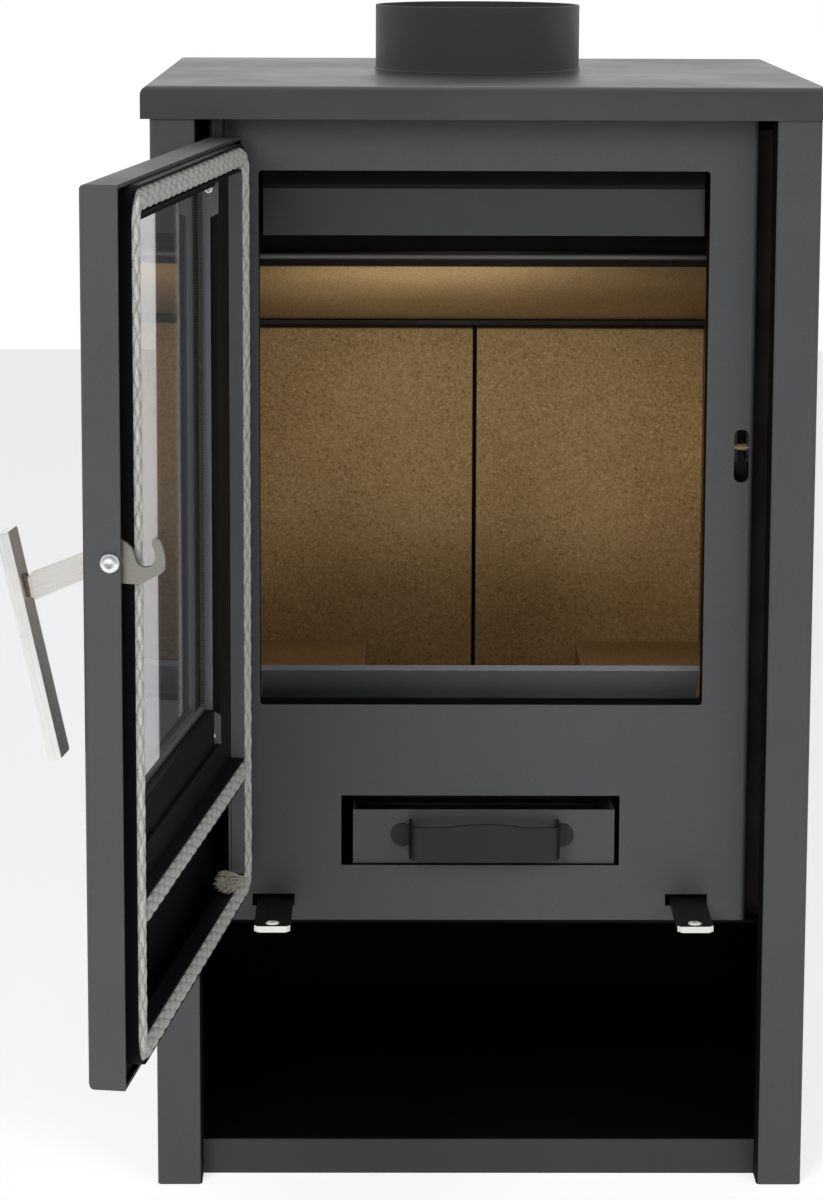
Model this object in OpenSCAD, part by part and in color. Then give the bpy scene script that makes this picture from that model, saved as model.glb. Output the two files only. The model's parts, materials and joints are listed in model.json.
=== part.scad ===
// Sheet-steel wood stove, shown with its glazed door standing open.
// Millimetres. +Z is up and the front looks along -Y. The origin is the centre of the base, on the floor.
// The door group is drawn in the door's own frame: x runs from its hinge edge, y from its outer face
// towards the fire, z up from the floor. door_place() then hangs it on its pins at the open angle.

/* [Cabinet] */
// Width over the side panels
body_w = 450; // [430:1:520]
// Depth from the side panels' front faces to their rear flanges
body_d = 388; // [380:1:450]
// Height of the top plate's upper face
body_h = 767; // [760:1:840]
// Thickness of the cabinet sheet
sheet = 2; // [1.5:0.1:2.5]
// Width of a side panel's front face
panel_face = 31; // [28:1:36]
// Depth of a side panel's front return
panel_return = 20; // [14:1:22]
// Outer radius of a side panel's bends
panel_bend_r = 3; // [2.6:0.1:5]
// Width of a side panel's rear flange
rear_flange = 15; // [12:1:20]
// Air gap between the back panel and the firebox
back_gap = 37; // [25:1:45]

/* [Top plate and collar] */
// Overhang of the top plate at each side
lid_over_side = 6; // [3:1:10]
// Overhang of the top plate at the front
lid_over_front = 3; // [3:1:8]
// Overhang of the top plate at the back
lid_over_back = 5; // [3:1:10]
// Thickness of the top plate
lid_sheet = 2.5; // [2:0.1:3]
// Depth of the top plate's skirt
lid_skirt = 22; // [18:1:24]
// Outer radius of the top plate's bends
lid_bend_r = 6; // [4:0.5:8]
// Outside diameter of the flue collar
collar_od = 150; // [120:1:160]
// Wall of the flue collar
collar_wall = 2.5; // [2:0.1:4]
// Rise of the flue collar above the top plate
collar_rise = 47; // [30:1:70]
// Distance from the rear flanges to the collar's axis
collar_from_rear = 152; // [146:1:165]
// Width of the collar's hidden flange
collar_flange_w = 12.5; // [8:0.5:16]
// Thickness of the collar's hidden flange
collar_flange_t = 4; // [3:0.5:6]

/* [Log store] */
// Height of the front lip
plinth_h = 25; // [20:1:32]
// Height of the log store's ceiling sheet above the floor, underside
log_top = 179; // [172:1:184]

/* [Front plate] */
// Set-back of the front plate behind the panels' front faces
plate_back = 33.5; // [33.5:0.5:36]
// Thickness of the front plate
plate_t = 2.5; // [2:0.1:3]
// Gap between the front plate and each panel return
plate_gap = 7.5; // [6:0.5:9]
// Outer radius of the front plate's bends
plate_bend_r = 3.5; // [3.1:0.1:5]
// Depth of the front plate's folded edges
plate_depth = 17.5; // [17:0.5:22]
// Width of the front plate's face beside the fire opening
plate_face = 32.8; // [30:0.1:45]
// Distance of the fire opening's upper edge below the top plate
fire_drop = 56.5; // [54:0.5:70]
// Height of the fire opening's sill above the floor
fire_sill = 336; // [330:1:340]
// Radius of the fire opening's corners
fire_r = 2.5; // [1:0.5:5]

/* [Firebox] */
// Thickness of the firebox plates
box_t = 3; // [2.5:0.1:4]
// Air gap between the firebox and each side panel
box_gap = 18; // [14:1:22]
// Gap between the firebox and the top plate
box_top_gap = 29.5; // [26:0.5:36]
// Height of the firebox floor's upper face above the floor
fire_floor = 290; // [286:1:296]
// Width of the ash hole under the grate
ash_hole_w = 140; // [120:1:150]
// Width of the rim that the grate rests on, at its front and back
grate_rest = 10; // [6:1:16]
// Distance of the bricks' top edges below the top plate
brick_drop = 202.5; // [198:0.5:230]
// Thickness of the back bricks
back_brick_t = 24; // [20:1:28]
// Thickness of the side bricks
side_brick_t = 22; // [18:1:25]
// Thickness of the floor bricks
floor_brick_t = 25; // [20:1:30]
// Width of the joint between the back bricks
brick_joint = 3; // [2:0.5:5]
// Offset of that joint from the middle of the stove
joint_x = -6; // [-12:1:12]
// Width of the grate
grate_w = 160; // [154:1:166]
// Gap between the log retainer's foot and the grate
grate_gap = 21; // [12:1:30]
// Thickness of the grate
grate_t = 8; // [6:1:12]
// Width of the grate's slots
grate_slot = 6; // [4:0.5:8]
// Number of slots in each of the grate's two rows
grate_slots = 11; // [8:1:13]

/* [Baffle, deflector and log retainer] */
// Length of the baffle along its slope
baffle_l = 190; // [170:1:200]
// Thickness of the baffle
baffle_t = 25; // [20:1:30]
// Slope of the baffle, rising to the front
baffle_angle = 18.7; // [15:0.1:22]
// Depth of the baffle's rear ledge
ledge_d = 48; // [44:1:56]
// Diameter of the round bar along the baffle's front edge
bar_d = 6; // [5:0.5:8]
// Height of the deflector below the fire opening's upper edge
deflector_h = 45; // [35:1:55]
// Width of the log retainer
retainer_w = 308; // [290:1:330]
// Height of the log retainer's upright foot
retainer_foot = 34; // [28:1:40]
// Forward lean of the log retainer's upper leaf
retainer_lean = 30; // [24:1:31]
// Rise of the log retainer's upper leaf
retainer_rise = 34; // [26:1:40]

/* [Ash drawer] */
// Width of the ash drawer
drawer_w = 183.4; // [170:0.1:186]
// Height of the ash drawer
drawer_h = 38.7; // [34:0.1:42]
// Gap between the ash drawer and the firebox's back
drawer_back_gap = 37; // [27:1:60]
// Wall of the ash drawer
drawer_t = 2; // [1.5:0.1:2.5]
// Distance between the bow handle's legs, over the outside
bow_w = 105; // [90:1:120]
// Reach of the bow handle in front of the drawer
bow_reach = 23; // [20:0.5:23]
// Height of the bow handle's strap
bow_h = 23.5; // [18:0.5:25]
// Thickness of the bow handle's strap
bow_t = 2.2; // [1.6:0.1:3]
// Outer radius of the bow handle's bends
bow_r = 7; // [5:0.5:10]

/* [Air levers] */
// Width of an air lever
lever_w = 25; // [20:1:27]
// Thickness of an air lever
lever_t = 4.5; // [3:0.5:6]
// Reach of the levers in front of the panels
lever_reach = 27; // [18:1:40]
// Diameter of the hole in a lever's end
lever_hole = 9.5; // [6:0.5:12]
// Length of the guides that the levers run in
guide_l = 60; // [40:1:64]

/* [Door] */
// Angle that the door stands open in the photographed pose
door_open = 98; // [0:1:98]
// Gap between the door's hinge edge and the panel return
door_gap_hinge = 1.7; // [1.4:0.1:2.2]
// Gap between the door's free edge and the panel return
door_gap_free = 8.3; // [7.5:0.1:9]
// Gap between the top plate's skirt and the door
door_gap_top = 12.7; // [10:0.1:14]
// Height of the door's lower edge above the floor
door_z0 = 204.5; // [203:0.5:208]
// Depth of the door's pressed pan
pan_d = 22.5; // [22:0.1:23]
// Thickness of the door's sheet
pan_t = 2.5; // [2:0.1:2.8]
// Outer radius of the door's bends
pan_r = 4; // [3.2:0.1:5]
// Distance of the hinge pins from the hinge edge
pin_in = 12; // [11:0.1:12.5]
// Distance of the hinge pins behind the door's outer face
pin_deep = 8; // [7.5:0.1:9]
// Diameter of the hinge pins
pin_d = 6; // [5:0.5:7]
// Width of the door's window
window_w = 230; // [200:1:236]
// Distance of the window's upper edge below the door's upper edge
window_drop = 29.3; // [29:0.1:45]
// Height of the window's lower edge above the floor
window_z = 352; // [350:1:356]
// Thickness of the glass
glass_t = 4; // [3:0.5:5]
// Thickness of the glass gasket
gasket_t = 3; // [2:0.5:4]
// Diameter of the sealing rope
rope_d = 13.6; // [12:0.1:14]
// Distance of the rope's centre line from the door's edges
rope_in = 20; // [19:0.5:21]

/* [Handle and latch] */
// Length of the bar grip
grip_l = 134.4; // [110:0.1:150]
// Width of the bar grip
grip_w = 20; // [16:1:24]
// Thickness of the bar grip
grip_t = 7.6; // [6:0.1:10]
// Tilt of the bar grip, its lower end nearer the door
grip_tilt = 12.65; // [8:0.05:16]
// Thickness of the lever plate
hook_t = 3.7; // [3:0.1:3.8]
// Height of the handle's pivot above the floor
pivot_z = 517.2; // [500:0.1:530]
// Diameter of the keeper's pin
keeper_d = 5.4; // [4:0.1:5.6]
// Diameter of the pivot screw's shank
pivot_d = 6; // [5:0.5:7]

/* [Fits] */
// Gap between pieces that slide over each other
slide_gap = 0.3; // [0.2:0.05:0.5]
// Radial clearance of a turning pin in its bore
pin_fit = 0.05; // [0.02:0.01:0.1]
// Side play of the lever plate between its washer and nut
face_gap = 0.15; // [0.1:0.05:0.3]
// Radial clearance of screws and tubes in their holes
hole_gap = 0.4; // [0.1:0.05:0.6]

/* [Hidden] */
$fn = 48;
eps = 1;
// Cabinet
front_y = -body_d / 2;
half_w = body_w / 2;
wall_x = half_w - sheet;
return_x = half_w - panel_face;
lid_under = body_h - lid_sheet;
skirt_z = body_h - lid_skirt;
lid_w = body_w + 2 * lid_over_side;
lid_d = body_d + lid_over_front + lid_over_back;
rear_y = body_d / 2 - sheet;
back_y = rear_y - sheet;
back_z0 = 30;
log_ceiling_z = log_top + sheet;
screw_r = 1.9;
screw_head_r = 4;
screw_head_h = 1.8;
screw_x = half_w - 9;
screw_low = 100;
screw_high = 60;
screw_z = [screw_low, body_h / 2, body_h - screw_high];
vent_w = 8;
vent_h = 60;
vent_low = 40;
vent_high = 100;
vent_pitch = 44;
vents = 7;
// Collar
collar_r = collar_od / 2;
shoulder_w = 0.8;
shoulder_up = 0.5;
collar_y = body_d / 2 - collar_from_rear;
collar_top = body_h + collar_rise;
// Front plate and firebox
plate_y = front_y + plate_back;
plate_inner_y = plate_y + plate_t;
plate_x = return_x - plate_gap;
fire_w = 2 * (plate_x - plate_face);
box_y = plate_y + plate_depth;
box_in_y = box_y + box_t;
box_back_y = back_y - back_gap;
box_in_back = box_back_y - box_t;
box_x = wall_x - box_gap;
box_in_x = box_x - box_t;
box_top = lid_under - box_top_gap;
fire_top = lid_under - fire_drop;
// Log retainer and deflector
retainer_y = box_in_y + 32;
retainer_t = 3;
deflector_gap = 2.7;
deflector_t = 3;
// Bricks and grate
brick_y = box_in_back - back_brick_t;
brick_x = box_in_x - side_brick_t;
brick_fit = 0.3;
brick_top = lid_under - brick_drop;
grate_back = brick_y - 20;
grate_front = retainer_y + retainer_t + grate_gap;
ash_hole_d = grate_back - grate_front - 2 * grate_rest;
floor_brick_front = box_in_y + 38;
// Baffle
ledge_z = brick_top + 6;
baffle_y = box_in_back - 39;
baffle_z = ledge_z + box_t;
peg_r = 5;
peg_l = 22;
peg_along = baffle_l - 26;
bar_up = 7.5;
// Ash chamber
ash_floor_z = log_ceiling_z + 39.7;
drawer_mid = 2.5;
drawer_z = ash_floor_z + slide_gap;
drawer_y = plate_y + 3.5;
drawer_length = box_in_back - drawer_back_gap - drawer_y;
drawer_hole_w = drawer_w + 11.2;
drawer_hole_h = drawer_h + 11.5;
bow_z = drawer_z + 8.6;
bow_arch = 2.3;
bow_sag = 1.2;
bow_arch_w = 56;
foot_t = 2;
foot_r = 8;
foot_out = 5.5;
// Air levers
lever_in = [42.9, 40.5];
lever_slot_in = 41.75;
lever_x = [lever_in[0] - plate_x, plate_x - lever_in[1]];
lever_z = log_ceiling_z + 10.5;
lever_slot_mid = [lever_slot_in - plate_x, plate_x - lever_slot_in];
lever_slot_w = 29.5;
lever_slot_h = 8.6;
lever_inside = 120;
lever_end_y = front_y + lever_inside;
lever_hole_in = 7.8;
lever_chamfer = 3;
guide_t = 2;
// Door frame of reference
door_x = -return_x + door_gap_hinge;
door_y = front_y + 0.5;
door_w = 2 * return_x - door_gap_hinge - door_gap_free;
door_z1 = skirt_z - door_gap_top;
door_h = door_z1 - door_z0;
door_mid = door_w / 2;
hinge_x = door_x + pin_in;
hinge_y = door_y + pin_deep;
pin_r = pin_d / 2;
bracket_t = 3;
bracket_w = 20;
bracket_front = door_y + 1;
upper_bracket_z = skirt_z + 1;
lower_bracket_z = door_z0 - 7.5;
window_top = door_z1 - window_drop;
window_r = 8;
// Door inside
liner_t = 1.5;
liner_y = 17.5;
liner_top = liner_y + liner_t;
rope_r = rope_d / 2;
rope_y = liner_top + rope_r;
rope_corner = 14;
rope_low_gap = 3;
rope_gap = 0.7;
channel_h = 9;
channel_half = rope_r + rope_gap;
rope_z0 = door_z0 + pan_t + rope_low_gap + liner_t + channel_half;
rope_z1 = door_z1 - pan_t - slide_gap - liner_t - channel_half;
mid_rope_up = 97;
mid_rope_z = door_z0 + mid_rope_up;
mid_half = rope_r + 0.2;
tail_knot_r = 2;
tail_r = 8.6;
tail_l = 43;
glass_y = pan_t;
gasket_y = glass_y + glass_t;
seat_y = gasket_y + gasket_t;
strip_t = 1.5;
glass_over_x = 16;
glass_over_low = 18;
glass_over_top = 10;
gasket_lip = 2;
hole_side = 6;
hole_low = 22;
hole_up = 8;
hole_x0 = door_mid - window_w / 2 - hole_side;
hole_x1 = door_mid + window_w / 2 + hole_side;
hole_z0 = window_z - hole_low;
hole_z1 = window_top + hole_up;
stand_t = 2;
foot_w = 10;
stand_top = 20;
top_strip_y = 18.5;
low_strip_y = 16;
strip_gap = 2.2;
bay_x = 32;
bay_z0 = rope_z0 + channel_half + 1;
bay_z1 = mid_rope_z - mid_half - 6.7;
retainer_screw_y = 13.5;
retainer_screw_in = 6;
// Handle
hook_x = door_w - 7;
hook_x0 = hook_x - hook_t / 2;
hook_x1 = hook_x + hook_t / 2;
pivot_y = 16.4;
pivot_r = pivot_d / 2;
nut_r = 5;
washer_r = 7;
screw_cap_r = 5.9;
screw_cap_h = 3.3;
screw_dome_r = 7.5;
slot_side = 4.3;
arm_slot_z0 = pivot_z - 17.2;
arm_slot_z1 = pivot_z + 17.3;
notch_z0 = pivot_z - 32.2;
notch_z1 = pivot_z + 32.8;
grip_y = -30.7;
grip_z = pivot_z - 49.6;
// Latch, in the closed door's line
latch_x = door_x + hook_x - 0.65;
latch_z = pivot_z + 0.8;
latch_y = door_y + 35.9;
keeper_r = keeper_d / 2;
keeper_gap = 6.5;
keeper_t = 1.7;
keeper_h = 20;
keeper_foot = 13;
keeper_back = plate_inner_y + 14.2;
latch_slot_w = keeper_gap + 2 * keeper_t + 0.4;
latch_slot_h = 36.9;
latch_slot_z = pivot_z - 5.35;
// Colours
paint = [0.22, 0.22, 0.23];
dark_paint = [0.13, 0.13, 0.14];
lid_paint = [0.3, 0.3, 0.31];
inner_steel = [0.3, 0.29, 0.28];
bare_steel = [0.72, 0.71, 0.69];
zinc = [0.78, 0.78, 0.76];
brick = [0.62, 0.51, 0.35];
slab_colour = [0.66, 0.6, 0.5];
iron = [0.2, 0.19, 0.18];
rope_white = [0.86, 0.84, 0.78];
glass_tint = [0.6, 0.65, 0.65, 0.35];

// ---- Shapes that repeat ----

// Box between two limits on each axis
module block(x, y, z) {
    translate([x[0], y[0], z[0]]) cube([x[1] - x[0], y[1] - y[0], z[1] - z[0]]);
}

// Flat outline with round corners
module round_rect(x, y, r) {
    translate([x[0] + r, y[0]]) square([x[1] - x[0] - 2 * r, y[1] - y[0]]);
    translate([x[0], y[0] + r]) square([x[1] - x[0], y[1] - y[0] - 2 * r]);
    for (cx = [x[0] + r, x[1] - r])
        for (cy = [y[0] + r, y[1] - r])
            translate([cx, cy]) circle(r);
}

// Flat outline whose two corners at the lower y limit are round, as a bent sheet's are
module bent_rect(x, y, r) {
    translate([x[0], y[0] + r]) square([x[1] - x[0], y[1] - y[0] - r]);
    translate([x[0] + r, y[0]]) square([x[1] - x[0] - 2 * r, r]);
    for (cx = [x[0] + r, x[1] - r]) translate([cx, y[0] + r]) circle(r);
}

// Stands an x-z outline up and gives it the depth y[0] to y[1]
module upright(y) {
    translate([0, y[1], 0]) rotate([90, 0, 0]) linear_extrude(y[1] - y[0]) children();
}

// Stands a y-z outline up and gives it the width x[0] to x[1]
module sideways(x) {
    translate([x[0], 0, 0]) rotate([90, 0, 90]) linear_extrude(x[1] - x[0]) children();
}

// Solid with bent edges all round its z0 face
module bent_block(x, y, z, r) {
    intersection() {
        upright(y) bent_rect(x, z, r);
        sideways(x) bent_rect(y, z, r);
    }
}

// Pressed sheet tray: face at z = 0, walls up to the depth
module pressed_tray(length, width, depth, t, r) {
    difference() {
        bent_block([0, length], [0, width], [0, depth], r);
        bent_block([t, length - t], [t, width - t], [t, depth + eps], r - t);
    }
}

// Cylinder along x, y or z from a point
module rod_x(p, r, l) { translate(p) rotate([0, 90, 0]) cylinder(r = r, h = l); }
module rod_y(p, r, l) { translate(p) rotate([-90, 0, 0]) cylinder(r = r, h = l); }
module rod_z(p, r, l) { translate(p) cylinder(r = r, h = l); }

// The same piece at both sides of the stove
module mirrored() { mirror([1, 0, 0]) children(); }

// Hangs the door group on its pins
module door_place() {
    translate([hinge_x, hinge_y, 0]) rotate([0, 0, -door_open]) translate([-pin_in, -pin_deep, 0]) children();
}

// ---- Cabinet ----

// Folded panel whose top corners clear the bends of the top plate
module side_panel() {
    color(paint) difference() {
        intersection() {
            panel_sheet();
            lid_place() bent_block([lid_sheet, lid_w - lid_sheet], [lid_sheet, lid_d - lid_sheet],
                                   [lid_sheet, body_h + eps], lid_bend_r - lid_sheet + slide_gap);
        }
        for (z = screw_z) rod_y([screw_x, rear_y - eps, z], screw_r + hole_gap / 4, sheet + 2 * eps);
    }
}
module panel_sheet() {
    linear_extrude(lid_under) {
        difference() {
            bent_rect([return_x, half_w], [front_y, front_y + panel_return], panel_bend_r);
            bent_rect([return_x + sheet, wall_x], [front_y + sheet, front_y + panel_return + eps],
                      panel_bend_r - sheet);
        }
        translate([wall_x, front_y + panel_return]) square([sheet, rear_y - front_y - panel_return]);
        translate([half_w - rear_flange, rear_y]) square([rear_flange, sheet]);
    }
}
module left_side_panel() { mirrored() side_panel(); }
module right_side_panel() { side_panel(); }

// Closes the back, with two rows of vent slots
module back_panel() {
    color(paint) upright([back_y, rear_y]) difference() {
        translate([-wall_x + slide_gap, back_z0])
            square([2 * (wall_x - slide_gap), lid_under - back_z0]);
        for (z = [back_z0 + vent_low, lid_under - vent_high])
            for (i = [0 : vents - 1]) {
                x = (i - (vents - 1) / 2) * vent_pitch;
                round_rect([x - vent_w / 2, x + vent_w / 2], [z, z + vent_h], vent_w / 2 - 0.1);
            }
        for (x = [-screw_x, screw_x], z = screw_z) translate([x, z]) circle(screw_r + hole_gap / 4);
    }
}

module panel_screws() {
    color(zinc) for (x = [-screw_x, screw_x], z = screw_z) {
        rod_y([x, back_y - 4, z], screw_r, 4 + 2 * sheet);
        rod_y([x, rear_y + sheet, z], screw_head_r, screw_head_h);
    }
}

// Puts a shape drawn face down from one corner in the top plate's place
module lid_place() {
    translate([-lid_w / 2, front_y - lid_over_front + lid_d, body_h]) rotate([180, 0, 0]) children();
}

module top_plate() {
    color(lid_paint) difference() {
        lid_place() pressed_tray(lid_w, lid_d, lid_skirt, lid_sheet, lid_bend_r);
        rod_z([0, collar_y, skirt_z], collar_r + shoulder_w + hole_gap, lid_skirt + eps);
    }
}

// Tube that stands on the firebox, through the top plate, with a low shoulder that stops the pipe
module flue_collar() {
    color(dark_paint) difference() {
        union() {
            rod_z([0, collar_y, box_top], collar_r, collar_top - box_top);
            rod_z([0, collar_y, box_top], collar_r + shoulder_w, body_h + shoulder_up - box_top);
            rod_z([0, collar_y, box_top], collar_r + collar_flange_w, collar_flange_t);
        }
        rod_z([0, collar_y, box_top - eps], collar_r - collar_wall, collar_top - box_top + 2 * eps);
    }
}

// ---- Log store ----

module plinth() {
    y = front_y + panel_return;
    color(paint) block([-wall_x, wall_x], [y, y + sheet], [0, plinth_h]);
}

module log_floor() {
    color(dark_paint) block([-wall_x, wall_x], [front_y + panel_return + sheet, box_back_y - sheet],
                            [plinth_h - sheet, plinth_h]);
}

module log_back() {
    color(dark_paint) block([-wall_x, wall_x], [box_back_y - sheet, box_back_y],
                            [plinth_h - sheet, log_top]);
}

module log_ceiling() {
    color(dark_paint) block([-wall_x, wall_x], [plate_y, box_back_y], [log_top, log_ceiling_z]);
}

// ---- Front plate and firebox ----

module fire_outline(grow = 0) {
    round_rect([-fire_w / 2 - grow, fire_w / 2 + grow], [fire_sill - grow, fire_top + grow], fire_r + grow);
}

module drawer_outline(grow = 0) {
    translate([-drawer_hole_w / 2 - grow, ash_floor_z - grow])
        square([drawer_hole_w + 2 * grow, drawer_hole_h + 2 * grow]);
}

module lever_slot_outline() {
    for (x = lever_slot_mid)
        translate([x - lever_slot_w / 2, lever_z - slide_gap]) square([lever_slot_w, lever_slot_h]);
}

module latch_slot_outline() {
    round_rect([latch_x - latch_slot_w / 2, latch_x + latch_slot_w / 2],
               [latch_slot_z - latch_slot_h / 2, latch_slot_z + latch_slot_h / 2], latch_slot_w / 2 - 0.5);
}

// Folded sheet with the fire opening, the drawer opening, the latch slot and the lever slots
module front_plate() {
    color(paint) {
        difference() {
            translate([0, 0, log_ceiling_z]) linear_extrude(lid_under - log_ceiling_z) difference() {
                bent_rect([-plate_x, plate_x], [plate_y, box_y], plate_bend_r);
                bent_rect([plate_t - plate_x, plate_x - plate_t], [plate_inner_y, box_y + eps],
                          plate_bend_r - plate_t);
            }
            upright([plate_y - eps, plate_inner_y + eps]) {
                fire_outline();
                drawer_outline();
                lever_slot_outline();
                latch_slot_outline();
            }
        }
        upright([plate_y + plate_t / 2, box_y]) difference() {
            fire_outline(plate_t);
            fire_outline();
        }
        upright([plate_y + plate_t / 2, box_y]) difference() {
            drawer_outline(plate_t);
            drawer_outline();
        }
    }
}

module firebox_front() {
    color(inner_steel) upright([box_y, box_in_y]) difference() {
        translate([-box_x, log_ceiling_z]) square([2 * box_x, box_top - box_t - log_ceiling_z]);
        fire_outline();
        drawer_outline();
        lever_slot_outline();
    }
}

module firebox_side() {
    color(inner_steel) block([box_in_x, box_x], [box_in_y, box_in_back], [log_ceiling_z, box_top - box_t]);
}
module firebox_left() { mirrored() firebox_side(); }
module firebox_right() { firebox_side(); }

module firebox_back() {
    color(inner_steel) block([-box_x, box_x], [box_in_back, box_back_y], [log_ceiling_z, box_top - box_t]);
}

module firebox_top() {
    color(inner_steel) difference() {
        block([-box_x, box_x], [box_y, box_back_y], [box_top - box_t, box_top]);
        rod_z([0, collar_y, box_top - box_t - eps], collar_r - collar_wall, box_t + 2 * eps);
    }
}

module firebox_floor() {
    color(inner_steel) difference() {
        block([-box_in_x, box_in_x], [box_in_y, box_in_back], [fire_floor - box_t, fire_floor]);
        block([-ash_hole_w / 2, ash_hole_w / 2], [grate_front + grate_rest, grate_back - grate_rest],
              [fire_floor - box_t - eps, fire_floor + eps]);
    }
}

module ash_floor() {
    color(inner_steel) block([-box_in_x, box_in_x], [box_in_y, box_in_back], [ash_floor_z - sheet, ash_floor_z]);
}

// Plate that hangs inside the top of the fire opening
module deflector() {
    x = fire_w / 2 - deflector_gap;
    y = box_y - 9;
    color(bare_steel) block([-x, x], [y, y + deflector_t], [fire_top - deflector_h, fire_top]);
}

// Bent plate on the firebox floor that keeps logs off the glass
module log_retainer() {
    t = retainer_t;
    knee = fire_floor + retainer_foot;
    color(inner_steel) sideways([-retainer_w / 2, retainer_w / 2]) polygon([
        [retainer_y, fire_floor],
        [retainer_y + t, fire_floor],
        [retainer_y + t, knee],
        [retainer_y + t - retainer_lean, knee + retainer_rise],
        [retainer_y - retainer_lean, knee + retainer_rise - t],
        [retainer_y, knee - t / 2]
    ]);
}

// ---- Bricks, grate and baffle ----

module back_brick(x) {
    color(brick) block(x, [brick_y, box_in_back], [fire_floor, brick_top]);
}
module back_brick_left() { back_brick([-brick_x + brick_fit, joint_x - brick_joint / 2]); }
module back_brick_right() { back_brick([joint_x + brick_joint / 2, brick_x - brick_fit]); }

module side_brick() {
    color(brick) block([brick_x, box_in_x], [box_in_y + 6, box_in_back], [fire_floor, brick_top]);
}
module side_brick_left() { mirrored() side_brick(); }
module side_brick_right() { side_brick(); }

module floor_brick() {
    color(brick) block([grate_w / 2 + 2, brick_x - brick_fit], [floor_brick_front, brick_y - 3],
                       [fire_floor, fire_floor + floor_brick_t]);
}
module floor_brick_left() { mirrored() floor_brick(); }
module floor_brick_right() { floor_brick(); }

// Cast grate over the ash hole, with two rows of slots
module grate() {
    rib = 9;
    slot_l = grate_w / 2 - 2 * rib;
    pitch = (ash_hole_d - 4) / grate_slots;
    first = grate_front + grate_rest + 2 + pitch / 2;
    color(iron) difference() {
        block([-grate_w / 2, grate_w / 2], [grate_front, grate_back], [fire_floor, fire_floor + grate_t]);
        for (i = [0 : grate_slots - 1], side = [-1, 1]) {
            x = side * (slot_l + rib) / 2;
            y = first + i * pitch;
            translate([0, 0, fire_floor - eps]) linear_extrude(grate_t + 2 * eps)
                round_rect([x - slot_l / 2, x + slot_l / 2], [y - grate_slot / 2, y + grate_slot / 2],
                           grate_slot / 2 - 0.1);
        }
    }
}

// Puts its children on the baffle's underside line: x forward along the slope, y up from it
module baffle_place(x) {
    sideways(x) translate([baffle_y, baffle_z]) rotate(-baffle_angle) mirror([1, 0]) children();
}

module baffle() {
    color(slab_colour) baffle_place([-box_in_x + 2, box_in_x - 2]) square([baffle_l, baffle_t]);
}

module baffle_bar() {
    color(bare_steel) baffle_place([-box_in_x, box_in_x])
        translate([baffle_l + bar_d / 2, bar_up]) circle(bar_d / 2);
}

module baffle_ledge() {
    color(inner_steel) block([-box_in_x, box_in_x], [box_in_back - ledge_d, box_in_back],
                             [ledge_z, ledge_z + box_t]);
}

module baffle_pegs() {
    color(inner_steel) for (x = [[-box_in_x, peg_l - box_in_x], [box_in_x - peg_l, box_in_x]])
        baffle_place(x) translate([peg_along, -peg_r]) circle(peg_r);
}

// ---- Air levers ----

module air_guide(x) {
    w = lever_w / 2 + slide_gap;
    color(inner_steel) difference() {
        block([x - w - guide_t, x + w + guide_t], [box_in_y, box_in_y + guide_l],
              [log_ceiling_z, lever_z + lever_t + slide_gap + guide_t]);
        block([x - w, x + w], [box_in_y - eps, box_in_y + guide_l + eps],
              [lever_z - slide_gap, lever_z + lever_t + slide_gap]);
    }
}
module air_guide_left() { air_guide(lever_x[0]); }
module air_guide_right() { air_guide(lever_x[1]); }

// Flat strip with clipped corners and a hole in its front end
module air_lever(x) {
    y0 = front_y - lever_reach;
    w = lever_w / 2;
    c = lever_chamfer;
    color(dark_paint) translate([x, 0, lever_z]) linear_extrude(lever_t) difference() {
        polygon([[-w + c, y0], [w - c, y0], [w, y0 + c], [w, lever_end_y], [-w, lever_end_y], [-w, y0 + c]]);
        translate([0, y0 + lever_hole_in]) circle(lever_hole / 2);
    }
}
module primary_air_lever() { air_lever(lever_x[1]); }
module secondary_air_lever() { air_lever(lever_x[0]); }

// ---- Ash drawer ----

module ash_drawer() {
    x0 = drawer_mid - drawer_w / 2;
    x1 = drawer_mid + drawer_w / 2;
    color(paint) difference() {
        block([x0, x1], [drawer_y, drawer_y + drawer_length], [drawer_z, drawer_z + drawer_h]);
        block([x0 + drawer_t, x1 - drawer_t], [drawer_y + drawer_t, drawer_y + drawer_length - drawer_t],
              [drawer_z + drawer_t, drawer_z + drawer_h + eps]);
    }
}

// Strap bent to a bow, arched along its top edge, on two round feet
module drawer_handle() {
    x0 = drawer_mid - bow_w / 2;
    x1 = drawer_mid + bow_w / 2;
    y0 = drawer_y - bow_reach;
    top = bow_z + bow_h;
    top_r = (pow(bow_arch_w / 2, 2) + pow(bow_arch, 2)) / (2 * bow_arch);
    low_r = (pow(bow_arch_w / 2, 2) + pow(bow_sag, 2)) / (2 * bow_sag);
    color(dark_paint) {
        intersection() {
            translate([0, 0, bow_z - 5]) linear_extrude(bow_h + 10) difference() {
                bent_rect([x0, x1], [y0, drawer_y], bow_r);
                bent_rect([x0 + bow_t, x1 - bow_t], [y0 + bow_t, drawer_y + eps], bow_r - bow_t);
            }
            upright([y0 - eps, drawer_y + eps]) {
                translate([x0 - eps, bow_z]) square([bow_w + 2 * eps, bow_h]);
                intersection() {
                    translate([drawer_mid, top + bow_arch - top_r]) circle(top_r, $fn = 180);
                    translate([x0, top - eps]) square([bow_w, bow_arch + 2 * eps]);
                }
                intersection() {
                    translate([drawer_mid, bow_z - bow_sag + low_r]) circle(low_r, $fn = 180);
                    translate([x0, bow_z - bow_sag - eps]) square([bow_w, bow_sag + 2 * eps]);
                }
            }
        }
        for (x = [x0 - foot_out + 1, x1 + foot_out - 3])
            rod_y([x, drawer_y - foot_t, bow_z + bow_h / 2 + 0.4], foot_r, foot_t);
    }
}

// ---- Hinges ----

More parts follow.
